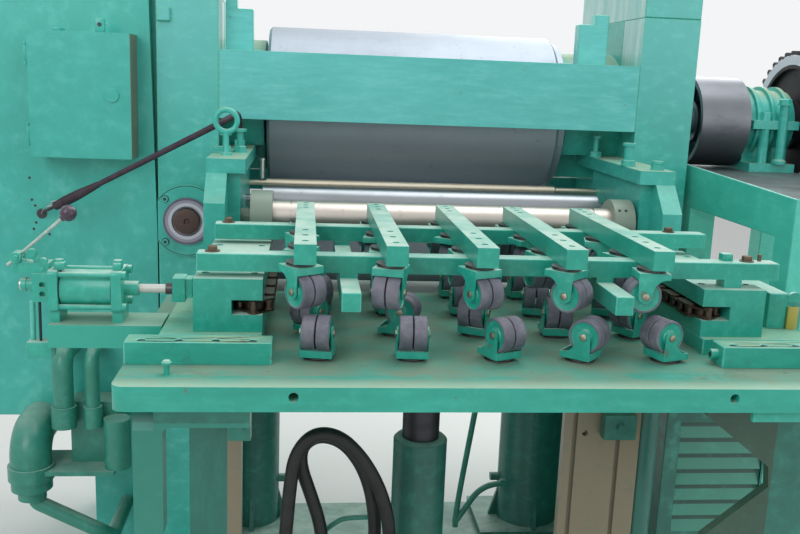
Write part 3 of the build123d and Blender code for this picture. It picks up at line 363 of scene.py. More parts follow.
def ring_patch(centre, outer, inner=0.0, across=0):
    """A disc, or a ring if it has an inner radius, in the plane of one axis and Z."""
    def mask(finish):
        aside = finish.part(across) - centre[0]
        height = finish.part(2) - centre[1]
        square = aside * aside + height * height
        disc = square < outer * outer
        return disc * (square > inner * inner) if inner else disc
    return mask


def shelf_top(finish):
    """Black grease on the shelf under the drum and the bearing."""
    return finish.facing_up() * (finish.noise(7.0, 5.0, 0.7).between(0.2, 0.4) * 0.9)


def louvre_panel(finish):
    """The part of the cabinet's front that the louvres take up."""
    return finish.part(0).within(*louvre_sides) * finish.part(2).within(louvre_low, louvre_high)


def louvre_painted_light(finish):
    """Painted light: the lit face of each louvre."""
    return louvre_panel(finish) * 0.7


def louvre_shadow(finish):
    """Painted shadow: the dark upper part of each louvre, where the slope is deepest."""
    return louvre_panel(finish) * (((louvre_high - finish.part(2)) / louvre_pitch).fraction() < 0.3)


def left_bracket(finish):
    """The left brackets under the table, which stand in more light."""
    return (finish.part(0) < -0.3) * (finish.part(2) < plate_level) * 0.6


def side_of_box(finish):
    """The stained right side of the electrical box."""
    return finish.part(0).within(-0.8075, -0.8)


def fresh_front(finish):
    """Brushed touch-up patches near the table's front edge."""
    strip = finish.part(1).between(-0.57, -0.54) * (1 - finish.part(1).between(-0.53, -0.47))
    return strip * finish.noise(5.0, 4.0, 0.6, stretch=(1.0, 3.0, 3.0)).between(0.5, 0.6) * 0.7


def pale_rim(finish):
    """The rubbed pale strip along the front edge of the table."""
    return finish.facing_up() * (1 - finish.part(1).between(-0.6, -0.545)) * 0.75


def painted_haze(finish):
    """A painted haze of light that lightens the paint towards the top of the machine."""
    return finish.part(2).between(1.15, 1.75) * 0.5


def above_table(finish):
    """The block under the air cylinder, which stands beside the table, out of the painted shade of this
    paint.
    """
    return finish.part(2).between(plate_level, 0.985) * (finish.part(2, finish.facing) < 0.5)


def above_table_top(finish):
    """The dusty top of that block."""
    return finish.part(2).between(plate_level, 0.985) * (finish.part(2, finish.facing) > 0.5)


def notched_plate(finish):
    """Painted shade on the plate on the right under the table."""
    return finish.part(0).within(0.396, 0.54) * (finish.part(2) < 0.92) * 0.75


def bright_rod(finish):
    """The air cylinder's rod, left of its nut."""
    return finish.part(0) < rod_end


def rod_nut(finish):
    """The dark nut between the rod and its coupler."""
    return finish.part(0).within(rod_end, -0.5985)


# %% Paint finishes
# The standards carry a painted haze towards the top and a painted reflection on their inner faces.
standard_paint = enamel(
    "standard paint", (8, 8, 12), grime=0.15, pale=0.45, gloss=0.32,
    patches=((painted_haze, (124, 208, 206)), (painted_reflection, (214, 230, 222))),
)
panel_paint = enamel("panel paint", (6, 6, 5), dust=0.4, grime=0.08, pale=0.4, gloss=0.34)
# The louvres carry a painted lit face and a painted shadow over the cabinet's shaded paint.
cabinet_paint = enamel(
    "cabinet paint", (7, 7, 6), shade_green, grime=0.2, pale=0.9, gloss=0.4,
    patches=((louvre_painted_light, (70, 150, 128)), (louvre_shadow, (24, 76, 62))),
)
box_paint = enamel(
    "box paint", (6, 6, 8), grime=0.1, pale=0.2, gloss=0.3,
    patches=((side_of_box, (104, 96, 78)),),
)
flange_rings = (
    (0.0982, 0.0958, (24, 84, 76)), (0.0652, 0, (96, 86, 106)), (0.059, 0, (146, 142, 158)),
    (0.051, 0, (192, 190, 200)), (0.0352, 0, (60, 46, 42)),
)
flange_paint = enamel(
    "flange paint", (9, 9, 9), dust=0.4, grime=0.35, pale=0.2, gloss=0.3,
    patches=[(ring_patch(flange_centre, outer, inner), shown) for outer, inner, shown in flange_rings],
)
# The cross beams take the lighter copy of the paint, a painted haze of light.
beam_paint = enamel("beam paint", (4, 24, 20), painted_haze_green, dust=0.85, grime=0.1, gloss=0.3)
bracket_paint = enamel(
    "bracket paint", (12, 10, 18), dust=0.9, grime=0.35, gloss=0.34, top=(160, 176, 148),
)
table_paint = enamel(
    "table paint", (5, 20, 16), fresh_green, dust=1.0, grime=0.35, pale=0.15, gloss=0.36,
    wear=0.15, top=(120, 146, 126), spare=fresh_front, patches=((pale_rim, (168, 200, 176)),),
)
rail_paint = enamel(
    "rail paint", (5, 20, 16), fresh_green, dust=0.9, grime=0.4, pale=0.15, gloss=0.34,
    wear=0.2, top=(150, 186, 158),
)
carriage_paint = enamel("carriage paint", (20, 5, 16), fresh_green, dust=0.9, pale=0.25, wear=0.25)
hood_paint = enamel("caster paint", (18, 18, 18), fresh_green, dust=0.6, grime=0.4, pale=0.35, wear=0.25)
column_paint = enamel(
    "column paint", (12, 12, 3), shade_green, dust=0.4, grime=0.5, pale=0.2, gloss=0.34,
    patches=((slideway, (130, 120, 98)),),
)
# A darker copy of the paint as painted shade under the table, with more painted shade on the notched plate.
under_paint = enamel(
    "under table paint", (10, 10, 12), shade_green, dust=0.6, grime=0.5, gloss=0.36,
    patches=(
        (notched_plate, (52, 66, 50)), (left_bracket, (40, 138, 120)),
        # The block above the table is lifted out of the painted shade.
        (above_table, (48, 168, 148)), (above_table_top, (138, 176, 156)),
    ),
)
coupler_paint = enamel(
    "coupler paint", (20, 20, 20), fresh_green, dust=0.4, pale=0.4,
    patches=((bright_rod, (204, 202, 196)), (rod_nut, (58, 52, 52))),
)
frame_paint = enamel("frame paint", (10, 10, 12), shade_green, dust=0.7, grime=0.5, pale=0.4, gloss=0.4)
shelf_paint = enamel(
    "shelf paint", (14, 6, 12), ((64, 182, 162), (84, 204, 184), (132, 224, 208)),
    dust=0.9, top=(84, 92, 92), patches=((shelf_top, (66, 72, 74)),),
)
edge_paint = enamel(
    "worn edge paint", (40, 40, 40), ((60, 168, 150), (82, 188, 170), (124, 210, 194)),
    dust=0.2, grime=0.15, pale=0.6, gloss=0.32, wear=0.3,
)
shade_edge = enamel(
    "edge paint in the shade", (40, 40, 40), ((32, 100, 86), (46, 126, 110), (72, 150, 132)),
    dust=0.2, pale=0.4, gloss=0.34, wear=0.3,
)
pipe_paint = enamel("pipe paint", (10, 10, 10), pipe_green, grime=0.6, gloss=0.32)
lever_paint = enamel(
    "lever paint", (40, 40, 40), ((132, 160, 150), (170, 192, 182), (208, 222, 216)),
    dust=0.3, grime=0.4, pale=0.6, wear=0.35,
)
in_shade = (cabinet_paint, under_paint, frame_paint, column_paint)
print("paints mixed")


# %% [markdown]
# ## Metals and rubber
# A turned roll carries fine rings round its axis, so its pattern is stretched far along the surface and
# kept fine along X. A ground roll shows almost nothing but its reflections. The engraved roll is dull and
# scuffed instead.

# %% Metal and rubber finishes
def metal(name, light, dark, roughness, rings=300, scuff=0.4, dirt=0.2, patches=()):
    """Turned steel: fine rings along X, scuffs that run round the roll, dirt and painted parts."""
    finish = Finish(name, Metallic=1.0)
    ring = finish.noise(1.0, 2.0, 0.5, stretch=(rings, 6, 6))
    rub = finish.noise(3.0, 6.0, 0.7, stretch=(3, 9, 9))
    patch = finish.noise(2.0, 5.0, 0.6).between(0.45, 0.75)
    colour = finish.mix(light, dark, patch * 0.5 + rub.between(0.5, 0.75) * scuff)
    colour = finish.mix(colour, (60, 50, 40), finish.noise(34.0, 6.0, 0.7).between(0.6, 0.72) * dirt)
    metallic = None
    for mask, shown in patches:
        cover = mask(finish)
        colour = finish.mix(colour, shown, cover)
        metallic = 1 - cover
    roughness = roughness + ring * 0.08 + rub * scuff * 0.3 + patch * 0.05
    return finish.paint(colour, roughness, metallic, height=ring, depth=0.0003, strength=0.15)


def collars(finish):
    """The painted collars at both ends of the front roll."""
    x = finish.part(0)
    return (x < -0.4305) + (x > 0.4435)


engraved_roll = metal("engraved roll", (166, 175, 184), (144, 154, 164), 0.52, scuff=0.2)
chrome_roll = metal("chrome roll", (150, 156, 160), (112, 118, 122), 0.24, rings=240, scuff=0.2)
polished_roll = metal(
    "polished roll", (186, 180, 172), (146, 140, 134), 0.32, rings=240, scuff=0.35,
    patches=((collars, (128, 144, 130)),),
)
worn_brass = metal("worn brass", (216, 208, 188), (184, 172, 148), 0.34, rings=900, scuff=0.3)
bare_steel = metal("bare steel", (176, 168, 150), (110, 98, 80), 0.35, scuff=0.5, dirt=0.6)
bright_steel = metal("bright steel", (206, 204, 198), (150, 146, 140), 0.22, scuff=0.2)
rusty_steel = metal("rusty steel", (118, 106, 92), (72, 58, 48), 0.5, rings=80, scuff=0.6, dirt=0.6)
shaft_brown = metal("shaft brown", (90, 76, 72), (56, 44, 44), 0.4, rings=40, scuff=0.6, dirt=0.8)
drum_iron = metal("drum iron", (124, 128, 134), (82, 86, 94), 0.34, rings=120)
dark_iron = metal("dark iron", (74, 74, 78), (42, 42, 46), 0.38, dirt=0.3)
gear_iron = metal(
    "gear iron", (70, 70, 72), (40, 40, 42), 0.42, rings=200, scuff=0.5, dirt=0.6,
    patches=((ring_patch(gear_centre, 0.221, 0.19, across=1), (212, 210, 220)),),
)
race_steel = metal("race steel", (118, 116, 116), (62, 58, 60), 0.4, rings=80, dirt=0.5)
chain_steel = metal("chain steel", (100, 86, 76), (46, 36, 34), 0.3, rings=60, scuff=0.5, dirt=0.5)


def rubber(name, base, worn, roughness=0.6):
    """Dull rubber with paler worn patches and specks of dust."""
    finish = Finish(name)
    patch = finish.noise(28.0, 5.0, 0.6).between(0.35, 0.7)
    speck = finish.noise(160.0, 3.0, 0.6).between(0.5, 0.75)
    colour = finish.mix(base, worn, patch * 0.7 + speck * 0.25)
    return finish.paint(colour, roughness + patch * 0.2, height=speck, depth=0.0004, strength=0.3)


wheel_rubber = rubber("wheel rubber", (92, 94, 106), (134, 130, 142))
hose_rubber = rubber("hose rubber", (18, 18, 20), (44, 44, 46), 0.42)
cable_tape = rubber("cable tape", (40, 28, 40), (78, 64, 76), 0.6)
knob_plastic = rubber("knob plastic", (62, 48, 64), (104, 88, 104), 0.22)
print("metals and rubber mixed")

# %% [markdown]
# ## Finishes on the CAD solids
# The solids come in as loose triangles. A Weld modifier joins them, and a narrow Bevel rounds every hard
# edge, as a grinder and three coats of paint do. The bevel's own faces take the second finish: thin pale
# paint, or a darker one on the parts that stand in the shade.

# %% Dress the CAD nodes
hard_edge = math.radians(35)
dressing = [
    (standard_paint, 3, "left_standard right_standard standard_caps"),
    (panel_paint, 3, "left_housing"),
    (cabinet_paint, 3, "right_cabinet"),
    (box_paint, 2.5, "electrical_box box_door"),
    (flange_paint, 1.5, "shaft_flange"),
    (beam_paint, 3, "cross_beams"),
    (bracket_paint, 2, "roll_brackets roll_chocks bearing_housing"),
    (table_paint, 2.5, "table_plate"),
    (rail_paint, 2.5, "table_rails"),
    (carriage_paint, 2, "left_guide_block right_guide_block side_plate crossbars caster_bars lower_bars"),
    (frame_paint, 2, "base_frame press_bolster press_cylinders lift_cylinder"),
    (shelf_paint, 3, "drive_shelf"),
    (under_paint, 2, "table_brackets"),
    (pipe_paint, 0, "hydraulic_pipework"),
    (carriage_paint, 1, "air_cylinder hand_valve"),
    (column_paint, 1, "guide_columns"),
    (engraved_roll, 0, "embossing_roll backing_roll"),
    (chrome_roll, 0, "chrome_roll"),
    (polished_roll, 0, "front_roll"),
    (worn_brass, 0, "brass_rod"),
    (coupler_paint, 1, "cylinder_rod"),
    (drum_iron, 0, "drive_drum"),
    (dark_iron, 0, "lift_ram"),
    (gear_iron, 0, "drive_gear"),
    (chain_steel, 0, "left_chain right_chain"),
]
for finish, edge, names in dressing:
    for name in names.split():
        node = nodes[name]
        node.data.materials.clear()
        node.data.materials.append(finish.material)
        if edge:
            edge_finish = shade_edge if finish in in_shade else edge_paint
            node.data.materials.append(edge_finish.material)
            weld = node.modifiers.new("weld", "WELD")
            weld.merge_threshold = 0.00002
            round_edge = node.modifiers.new("round edge", "BEVEL")
            round_edge.width = edge / 1000
            round_edge.segments = 2
            round_edge.limit_method = "ANGLE"
            round_edge.angle_limit = hard_edge
            round_edge.use_clamp_overlap = True
            round_edge.material = 1
for name, finish in (("hose_outer", hose_rubber), ("hose_inner", hose_rubber), ("cable", cable_tape)):
    cords[name].data.materials.append(finish.material)
print(len(dressing), "groups of CAD nodes dressed")

# %% [markdown]
# ## Shapes for new pieces
# The small parts are made of four shapes: a round bar between two points, a block with soft edges, a
# profile spun round an axis, and a hexagon head. Each adds to a bmesh, and one call at the end turns the
# bmesh into a piece that rides on a body of the frame. All sizes are millimetres in the machine's own axes.

# %% Shape helpers
sharp_edge = math.radians(34)
upward = (0, 0, 1)


def mark(verts, finish):
    """Gives the faces at these vertices a finish by its number in the piece."""
    for face in {face for vert in verts for face in vert.link_faces}:
        face.material_index = finish


def bar(shape, start, end, radius, sides=20, end_radius=None, finish=0):
    """A round bar, or a cone, from one point to another."""
    first = mm(*start)
    last = mm(*end)
    turn = Vector(upward).rotation_difference(last - first).to_matrix().to_4x4()
    made = bmesh.ops.create_cone(
        shape, cap_ends=True, segments=sides, radius1=radius / 1000,
        radius2=(radius if end_radius is None else end_radius) / 1000, depth=(last - first).length,
        matrix=Matrix.Translation((first + last) / 2) @ turn,
    )
    mark(made["verts"], finish)


def soften(shape, geom, offset, steps, affect="EDGES"):
    """Rounds edges, or the corners of a flat face."""
    bmesh.ops.bevel(
        shape, geom=geom, offset=offset / 1000, offset_type="OFFSET", affect=affect, segments=steps,
        profile=0.5, material=-1, clamp_overlap=True,
    )


def slab(shape, low, high, soft=1.0, finish=0):
    """A block between two corners with rounded edges."""
    first = mm(*low)
    last = mm(*high)
    size = Matrix.Diagonal((*(last - first), 1))
    made = bmesh.ops.create_cube(shape, size=1, matrix=Matrix.Translation((first + last) / 2) @ size)
    mark(made["verts"], finish)
    soften(shape, list({edge for vert in made["verts"] for edge in vert.link_edges}), soft, 2)


def turned(shape, profile, centre, axis, steps=28, finish=0):
    """Spins (along, radius) points round an axis through a centre."""
    axis = Vector(axis).normalized()
    outward = axis.orthogonal().normalized()
    verts = []
    for along, out in profile:
        verts.append(shape.verts.new(mm(*centre) + axis * (along / 1000) + outward * (out / 1000)))
    edges = [shape.edges.new(pair) for pair in zip(verts, verts[1:])]
    bmesh.ops.spin(
        shape, geom=verts + edges, axis=axis, cent=mm(*centre), dvec=(0, 0, 0), angle=math.tau, steps=steps,
        use_merge=True, use_duplicate=False,
    )
    new_faces = {face for vert in verts for face in vert.link_faces}
    ring = set(new_faces)
    while new_faces:
        new_faces = {near for face in new_faces for edge in face.edges for near in edge.link_faces} - ring
        ring |= new_faces
    for face in ring:
        face.material_index = finish
    return ring


def hex_head(shape, base, axis, across, thick, washer=0, finish=0):
    """A hexagon head or nut that stands on a surface, with a washer under it if one is asked for."""
    axis = Vector(axis).normalized()
    base = Vector(base)
    lift = 0
    if washer:
        lift = across * 0.12
        bar(shape, base, base + axis * lift, washer, sides=24, finish=finish)
    radius = across / 2 / math.cos(math.pi / 6)
    shoulder = base + axis * (lift + thick * 0.82)
    bar(shape, base + axis * lift, shoulder, radius, sides=6, finish=finish)
    top = base + axis * (lift + thick)
    bar(shape, shoulder, top, radius, sides=6, end_radius=radius * 0.86, finish=finish)


def closed_mesh(name, shape):
    """Closes the seams of a bmesh, turns its faces outwards and makes it a mesh."""
    bmesh.ops.remove_doubles(shape, verts=shape.verts, dist=0.00001)
    bmesh.ops.recalc_face_normals(shape, faces=shape.faces)
    mesh = bpy.data.meshes.new(name)
    shape.to_mesh(mesh)
    shape.free()
    return mesh


def new_piece(name, shape, finishes, body, stands_for=None):
    """Makes a bmesh a piece of the machine, smooth except along its sharp edges."""
    mesh = closed_mesh(name, shape)
    mesh.shade_smooth()
    mesh.set_sharp_from_angle(angle=sharp_edge)
    for finish in finishes:
        mesh.materials.append(finish.material)
    piece = new_object(name, mesh)
    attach(piece, body)
    if stands_for:
        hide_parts(stands_for)
    print(name, len(mesh.polygons), "faces")
    return piece


# %% [markdown]
# ## Twin wheel casters
# A caster's fork is one pressed sheet: a flat crown that carries the ball race, a short skirt in front and
# behind, and two cheeks that narrow to a rounded boss at the axle. The cheek starts as a face with seven
# corners. A bevel of single vertices rounds the boss and makes the hollow curve up to the skirt. The face
# is extruded across the caster, the faces that the press leaves open are deleted, the folds are bevelled,
# and the sheet gets its thickness. The wheels are one spun profile: rubber treads with a groove between
# them and painted discs.

# %% Caster sizes
crown_top = 77.0
race_top = 84.0
cheek_out = 29.5
sheet_thick = 3.0
axle_y = -15.0
axle_z = 32.0
cheek_corners = ((30, 65), (30, crown_top), (-30, crown_top), (-30, 63), (-28, 19), (-2, 19), (-1, 65))
skirt_round = 26
boss_round = 12.9
fold_round = 8
disc_starts = 12
tread_inside = 28
axle_cover = 7
wheel_profile = [
    (1.4, 9), (1.4, 30.8), (2.6, 32), (23.4, 32), (25, 30.6), (25, 27.6), (23.2, 27), (22.4, 25),
    (21.4, 15), (24, 13.5), (24.8, 12), (25.4, 9), (25.6, 0),
]


# %% Caster templates
def corner_near(shape, y, z):
    """The vertex nearest to a point in the plane of the cheek."""
    return min(shape.verts, key=lambda vert: (vert.co.y * 1000 - y) ** 2 + (vert.co.z * 1000 - z) ** 2)


def fork_template(fine):
    """A caster fork at its own origin: swivel axis Z, wheels below, crown on top."""
    shape = bmesh.new()
    shape.faces.new([shape.verts.new(mm(-cheek_out, y, z)) for y, z in cheek_corners])
    boss = [corner_near(shape, -28, 19), corner_near(shape, -2, 19)]
    soften(shape, boss, boss_round, 5 if fine else 3, "VERTICES")
    soften(shape, [corner_near(shape, -1, 65)], skirt_round, 7 if fine else 4, "VERTICES")
    grown = bmesh.ops.extrude_face_region(shape, geom=shape.faces[:])
    across = [item for item in grown["geom"] if isinstance(item, bmesh.types.BMVert)]
    bmesh.ops.translate(shape, verts=across, vec=mm(2 * cheek_out, 0, 0))
    bmesh.ops.recalc_face_normals(shape, faces=shape.faces)
    open_faces = []
    for face in shape.faces:
        middle = face.calc_center_median() * 1000
        upright = abs(face.normal.y) > 0.99 and middle.z > 64
        if abs(face.normal.x) < 0.5 and face.normal.z < 0.9 and not upright:
            open_faces.append(face)
    bmesh.ops.delete(shape, geom=open_faces, context="FACES")
    folds = [edge for edge in shape.edges if len(edge.link_faces) == 2]
    soften(shape, folds, fold_round, 4 if fine else 2)
    bmesh.ops.solidify(shape, geom=shape.faces[:], thickness=sheet_thick / 1000)
    steps = 24 if fine else 16
    race = [
        (crown_top - 1, 0), (crown_top - 1, 24), (79, 27.5), (80, 27.5), (80.4, 24), (81.4, 24), (81.8, 28),
        (race_top - 0.3, 28), (race_top - 0.3, 0),
    ]
    turned(shape, race, (0, 0, 0), upward, steps, finish=1)
    bar(shape, (-cheek_out, axle_y, axle_z), (cheek_out, axle_y, axle_z), 4, sides=10, finish=2)
    for side in (-1, 1):
        outside = side * (cheek_out - 0.2)
        hex_head(shape, (outside, axle_y, axle_z), (side, 0, 0), 12.5, 3.2, finish=2)
    return closed_mesh("fork", shape)


def wheel_template(fine):
    """A pair of wheels at the same origin as the fork."""
    shape = bmesh.new()
    profile = [(-along, out) for along, out in reversed(wheel_profile)] + wheel_profile
    ring = turned(shape, profile, (0, axle_y, axle_z), (1, 0, 0), 32 if fine else 20)
    for face in ring:
        middle = face.calc_center_median() * 1000
        out = math.hypot(middle.y - axle_y, middle.z - axle_z)
        if abs(middle.x) > disc_starts and out < tread_inside:
            face.material_index = 1 if out > axle_cover else 2
    return closed_mesh("wheels", shape)


def add_copy(shape, template, place):
    """Adds a copy of a template to a bmesh and moves it to its place."""
    before = len(shape.verts)
    shape.from_mesh(template)
    shape.verts.ensure_lookup_table()
    bmesh.ops.transform(shape, matrix=place, verts=shape.verts[before:])


templates = {fine: (fork_template(fine), wheel_template(fine)) for fine in (True, False)}
print("fork", len(templates[True][0].polygons), "faces, plain fork", len(templates[False][0].polygons))

# %% [markdown]
# The five casters of the front row swivel and roll, so each fork and each pair of wheels is a piece of its
# own. The other rows are fixed in the frame, and all their forks share one piece. The lower casters stand
# on the table upside down.

# %% Place the casters
caster_x = (-355, -191, -27, 137, 301)
caster_turns = (35, -18, 25, 45, -95)
front_y = -413
hang = 1092
rise = 1084
flip = Matrix.Rotation(math.pi, 4, "X")


def caster_place(x, y, z, turn):
    """Where a caster stands and how far it is swivelled, in degrees."""
    return Matrix.Translation(mm(x, y, z)) @ Matrix.Rotation(math.radians(turn), 4, "Z")


fork_finishes = (hood_paint, race_steel, bare_steel)
wheel_finishes = (wheel_rubber, hood_paint, bright_steel)
for number, (x, turn) in enumerate(zip(caster_x, caster_turns), 1):
    for kind, finishes, body, slot, template in (
        ("fork_%d", fork_finishes, "caster_swivel_%d", "green_paint", templates[True][0]),
        ("wheels_%d", wheel_finishes, "caster_wheel_%d", "grey_rubber", templates[True][1]),
    ):
        shape = bmesh.new()
        add_copy(shape, template, caster_place(x, front_y, hang, turn))
        name = kind % number
        new_piece("front_" + name, shape, finishes, body % number, "upper_" + name)

# %% Place the other rows
upper_rows = (
    (-249, caster_x, (165, 174, 183, 192, 201)),
    (-85, caster_x, (200, 169, 138, 107, 76)),
    (79, caster_x, (176, 178, 180, 182, 184)),
)
lower_front_y = -433
pitch_x = (-328, -164, 0, 164, 328)
lower_rows = (
    (lower_front_y, (-321, -150, 15, 170, 336), (170, 177, 205, 230, 110)),
    (-269, pitch_x, (140, 250, 150, 176, 120)),
    (-105, pitch_x, (205, 192, 179, 166, 153)),
    (59, pitch_x, (172, 176, 180, 184, 188)),
)
for row_name, node_stem, z, over, rows in (
    ("upper_row", "upper_rear", hang, Matrix(), upper_rows),
    ("lower_row", "lower", rise, flip, lower_rows),
):
    forks = bmesh.new()
    wheels = bmesh.new()
    for y, places_x, turns in rows:
        fork, wheel = templates[y == lower_front_y]
        for x, turn in zip(places_x, turns):
            place = caster_place(x, y, z, turn) @ over
            add_copy(forks, fork, place)
            add_copy(wheels, wheel, place)
    for kind, shape, finishes, slot in (
        ("_forks", forks, fork_finishes, "green_paint"), ("_wheels", wheels, wheel_finishes, "grey_rubber"),
    ):
        new_piece(row_name + kind, shape, finishes, "lift_table", node_stem + kind)

# %% [markdown]
# ## Studs and bolts of the machine
# The roll brackets are held down by long studs whose threads stand far above their nuts. The round flange
# has four socket bolts round its shaft's end, each with a dark hexagon of painted shade in its socket, the
# electrical box a catch on its top, and the housing flat dark discs of painted shade for a few screw holes
# and the hole of the cable.

# %% Fasteners on the machine
bracket_top = 1299
flange_face = 521.5
housing_face = 535.5
iron = 1
green = 2
brown = 3
shape = bmesh.new()
for x, y, top, stem, head in (
    (-560, 402, 1350, 8, 16), (-523, 416, 1360, 9, 17), (-576, 364, 1316, 12, 15), (506, 623, 1362, 8, 17),
    (510, 346, 1360, 13, 18), (555, 252, 1322, 12, 16),
):
    bar(shape, (x, y, bracket_top), (x, y, top - 4), stem)
    bar(shape, (x, y, top - 7), (x, y, top), head, sides=24)
    hex_head(shape, (x, y, bracket_top), upward, 2 * head - 3, 13, washer=head + 2)
# Flange bolts: the small dark hexagon on each head is painted shade in its socket.
for x in (-735, -615):
    for z in (1035, 1155):
        bar(shape, (x, flange_face, z), (x, flange_face - 0.9, z), 10.5, sides=24, finish=iron)
        bar(shape, (x, flange_face, z), (x, 514, z), 8.5, finish=green)
        bar(shape, (x, 514.2, z), (x, 513.8, z), 5, sides=6, finish=iron)
# Flat dark discs for the housing's screw holes: painted shade.
for x, z in ((-1098, 1202), (-1094, 1142), (-1086, 1126), (-1085, 1079), (-1092, 1061), (-1051, 1047)):
    bar(shape, (x, housing_face, z), (x, housing_face - 1.3, z), 3.6, sides=12, finish=iron)
slab(shape, (-896, 452, 1591), (-872, 470, 1628), soft=3, finish=green)
bar(shape, (-884, 451.5, 1612), (-884, 448, 1612), 5, sides=14, finish=iron)
slab(shape, (-1002, 450, 1591), (-982, 500, 1600), soft=2, finish=green)
shaft_end = [(0, 0), (0, 35.5), (-6, 35), (-7, 30), (-7, 8), (-4, 5), (-4, 0)]
turned(shape, shaft_end, (-675, 511, 1095), (0, 1, 0), 32, finish=brown)
# A flat dark disc round the cable: painted shade in its hole.
bar(shape, (-1069, housing_face, 1104), (-1069, housing_face - 1.1, 1104), 14, sides=28, finish=iron)
finishes = (bracket_paint, dark_iron, box_paint, shaft_brown)
new_piece("machine_fasteners", shape, finishes, "machine")

# %% [markdown]
# A bright adjusting pin stands on the brass rod's bearing, and the drive bearing is held by two long bolts
# with a boss round each. Six bolts hold the gear to its hub, and small screws lock the collars of the front
# roll.

# %% Pin and bearing bolts
shape = bmesh.new()
pin = [(1211, 0), (1211, 8), (1262, 8), (1263, 10), (1268, 10), (1269, 8), (1269, 0)]
turned(shape, pin, (-474, 600, 0), upward, 20)
for y in (705, 975):
    bar(shape, (1124, y, 1288), (1124, y, 1470), 14, sides=24, finish=1)
    hex_head(shape, (1124, y, 1470), upward, 32, 16, washer=21, finish=1)
    turned(shape, [(1288, 0), (1288, 22), (1298, 22), (1304, 14)], (1124, y, 0), upward, 24, finish=1)
new_piece("pin_and_bearing_bolts", shape, (bright_steel, bracket_paint), "machine")


def round_axis(x, axis, out, angle):
    """A point at a distance from an axis along X; the angle rises from the side of the feed table."""
    return (x, axis[0] - out * math.cos(angle), axis[1] + out * math.sin(angle))


# %% Gear bolts and collar screws
gear_axis = (840, 1408)
front_roll_axis = (280, 1150)
shape = bmesh.new()
for step in range(6):
    angle = math.pi - math.tau * step / 6
    hex_head(shape, round_axis(1255, gear_axis, 64, angle), (1, 0, 0), 19, 9)
new_piece("gear_hub_bolts", shape, (dark_iron,), "embossing_roll_set")
shape = bmesh.new()
for x, angle, top, bottom, radius, sides in (
    (457, 0.72, 66.3, 60, 4.2, 14), (474, 0.72, 66.3, 60, 4.2, 14), (-458, 2.2, 64.5, 67, 4.5, 6),
    (-458, 4.4, 64.5, 67, 4.5, 6), (463, 2.2, 64.5, 67, 4.5, 6), (463, 4.4, 64.5, 67, 4.5, 6),
):
    start = round_axis(x, front_roll_axis, top, angle)
    bar(shape, start, round_axis(x, front_roll_axis, bottom, angle), radius, sides)
new_piece("collar_screws", shape, (dark_iron,), "front_roll_body")

# %% [markdown]
# ## Small parts on the feed table
# Rusty bolts with wide washers clamp the crossbars. A stained plate and a green one with a round top stand
# at the side plate, and a peg, a stop and a clamp screw on the table's front. Flat dark discs at the bottoms
# of the threaded holes of the square bars and of the guides are painted shade in the holes.

# %% Parts on the table
plate_top = 999
cross_top = 1176
peg_top = 1018
green = 1
iron = 2
ochre = 3
shape = bmesh.new()
for x, y in ((-520, -338), (-519, 8), (500, 8), (524, -338)):
    hex_head(shape, (x, y, cross_top), upward, 17, 9, washer=14)
bar(shape, (-577, -535, plate_top), (-577, -535, peg_top), 5, sides=14, finish=green)
peg_head = [(peg_top, 0), (peg_top, 9), (1022, 9), (1025, 6), (1026, 0)]
turned(shape, peg_head, (-577, -535, 0), upward, 20, finish=green)
hex_head(shape, (-545, -377, 1016), (0, -1, 0), 14, 7)
bar(shape, (428, -456, 1020), (413, -456, 1020), 10, finish=green)
bar(shape, (414, -456, 1020), (412.4, -456, 1020), 5, sides=14, finish=iron)
slab(shape, (474, -338, cross_top - 1), (496, -318, cross_top + 14), soft=2, finish=green)
bar(shape, (553, -332, cross_top - 1), (553, -332, cross_top + 13), 4, sides=12)
slab(shape, (637, -316, plate_top), (660, -309, 1078), soft=1.5, finish=ochre)
slab(shape, (637, -307, plate_top), (670, -299, 1088), soft=1.5, finish=green)
bar(shape, (653.5, -307, 1090), (653.5, -299, 1090), 16.5, sides=28, finish=green)
slab(shape, (443, -586, 934), (535, -574, 958), soft=2, finish=green)
# Dark discs at the bottoms of the holes: painted shade.
for x in (-348, -184, -20, 144, 308):
    for along in (12, 50, 88):
        for y in (-432.5 + along * 1.6, 101.5 - along):
            bar(shape, (x, y, 1209), (x, y, 1210.5), 6.6, sides=16, finish=iron)
for x in (-631, -566, -502, -437, 453, 514, 577):
    bar(shape, (x, -464, 1036), (x, -464, 1038.6), 7.2, sides=16, finish=iron)


def stains(finish):
    """Cloudy stains on the loose plate."""
    return finish.noise(20.0, 4.0, 0.6).between(0.2, 0.5)


ochre_paint = enamel(
    "ochre stain", (20, 20, 20), dust=0.3, grime=0.5, pale=0.2, patches=((stains, (160, 152, 60)),),
)
finishes = (rusty_steel, carriage_paint, dark_iron, ochre_paint)
new_piece("table_fittings", shape, finishes, "lift_table")

# %% [markdown]
# ## Air cylinder, valve and lever
# The cylinder's caps have lugs for their ports, a fitting closes the valve's left end, and a thin pipe and
# an air line go down beside the foot. The lever is a thin rod through a fork, with a dark ball on top. It
# replaces the plain CAD lever and rides on the lever's body.

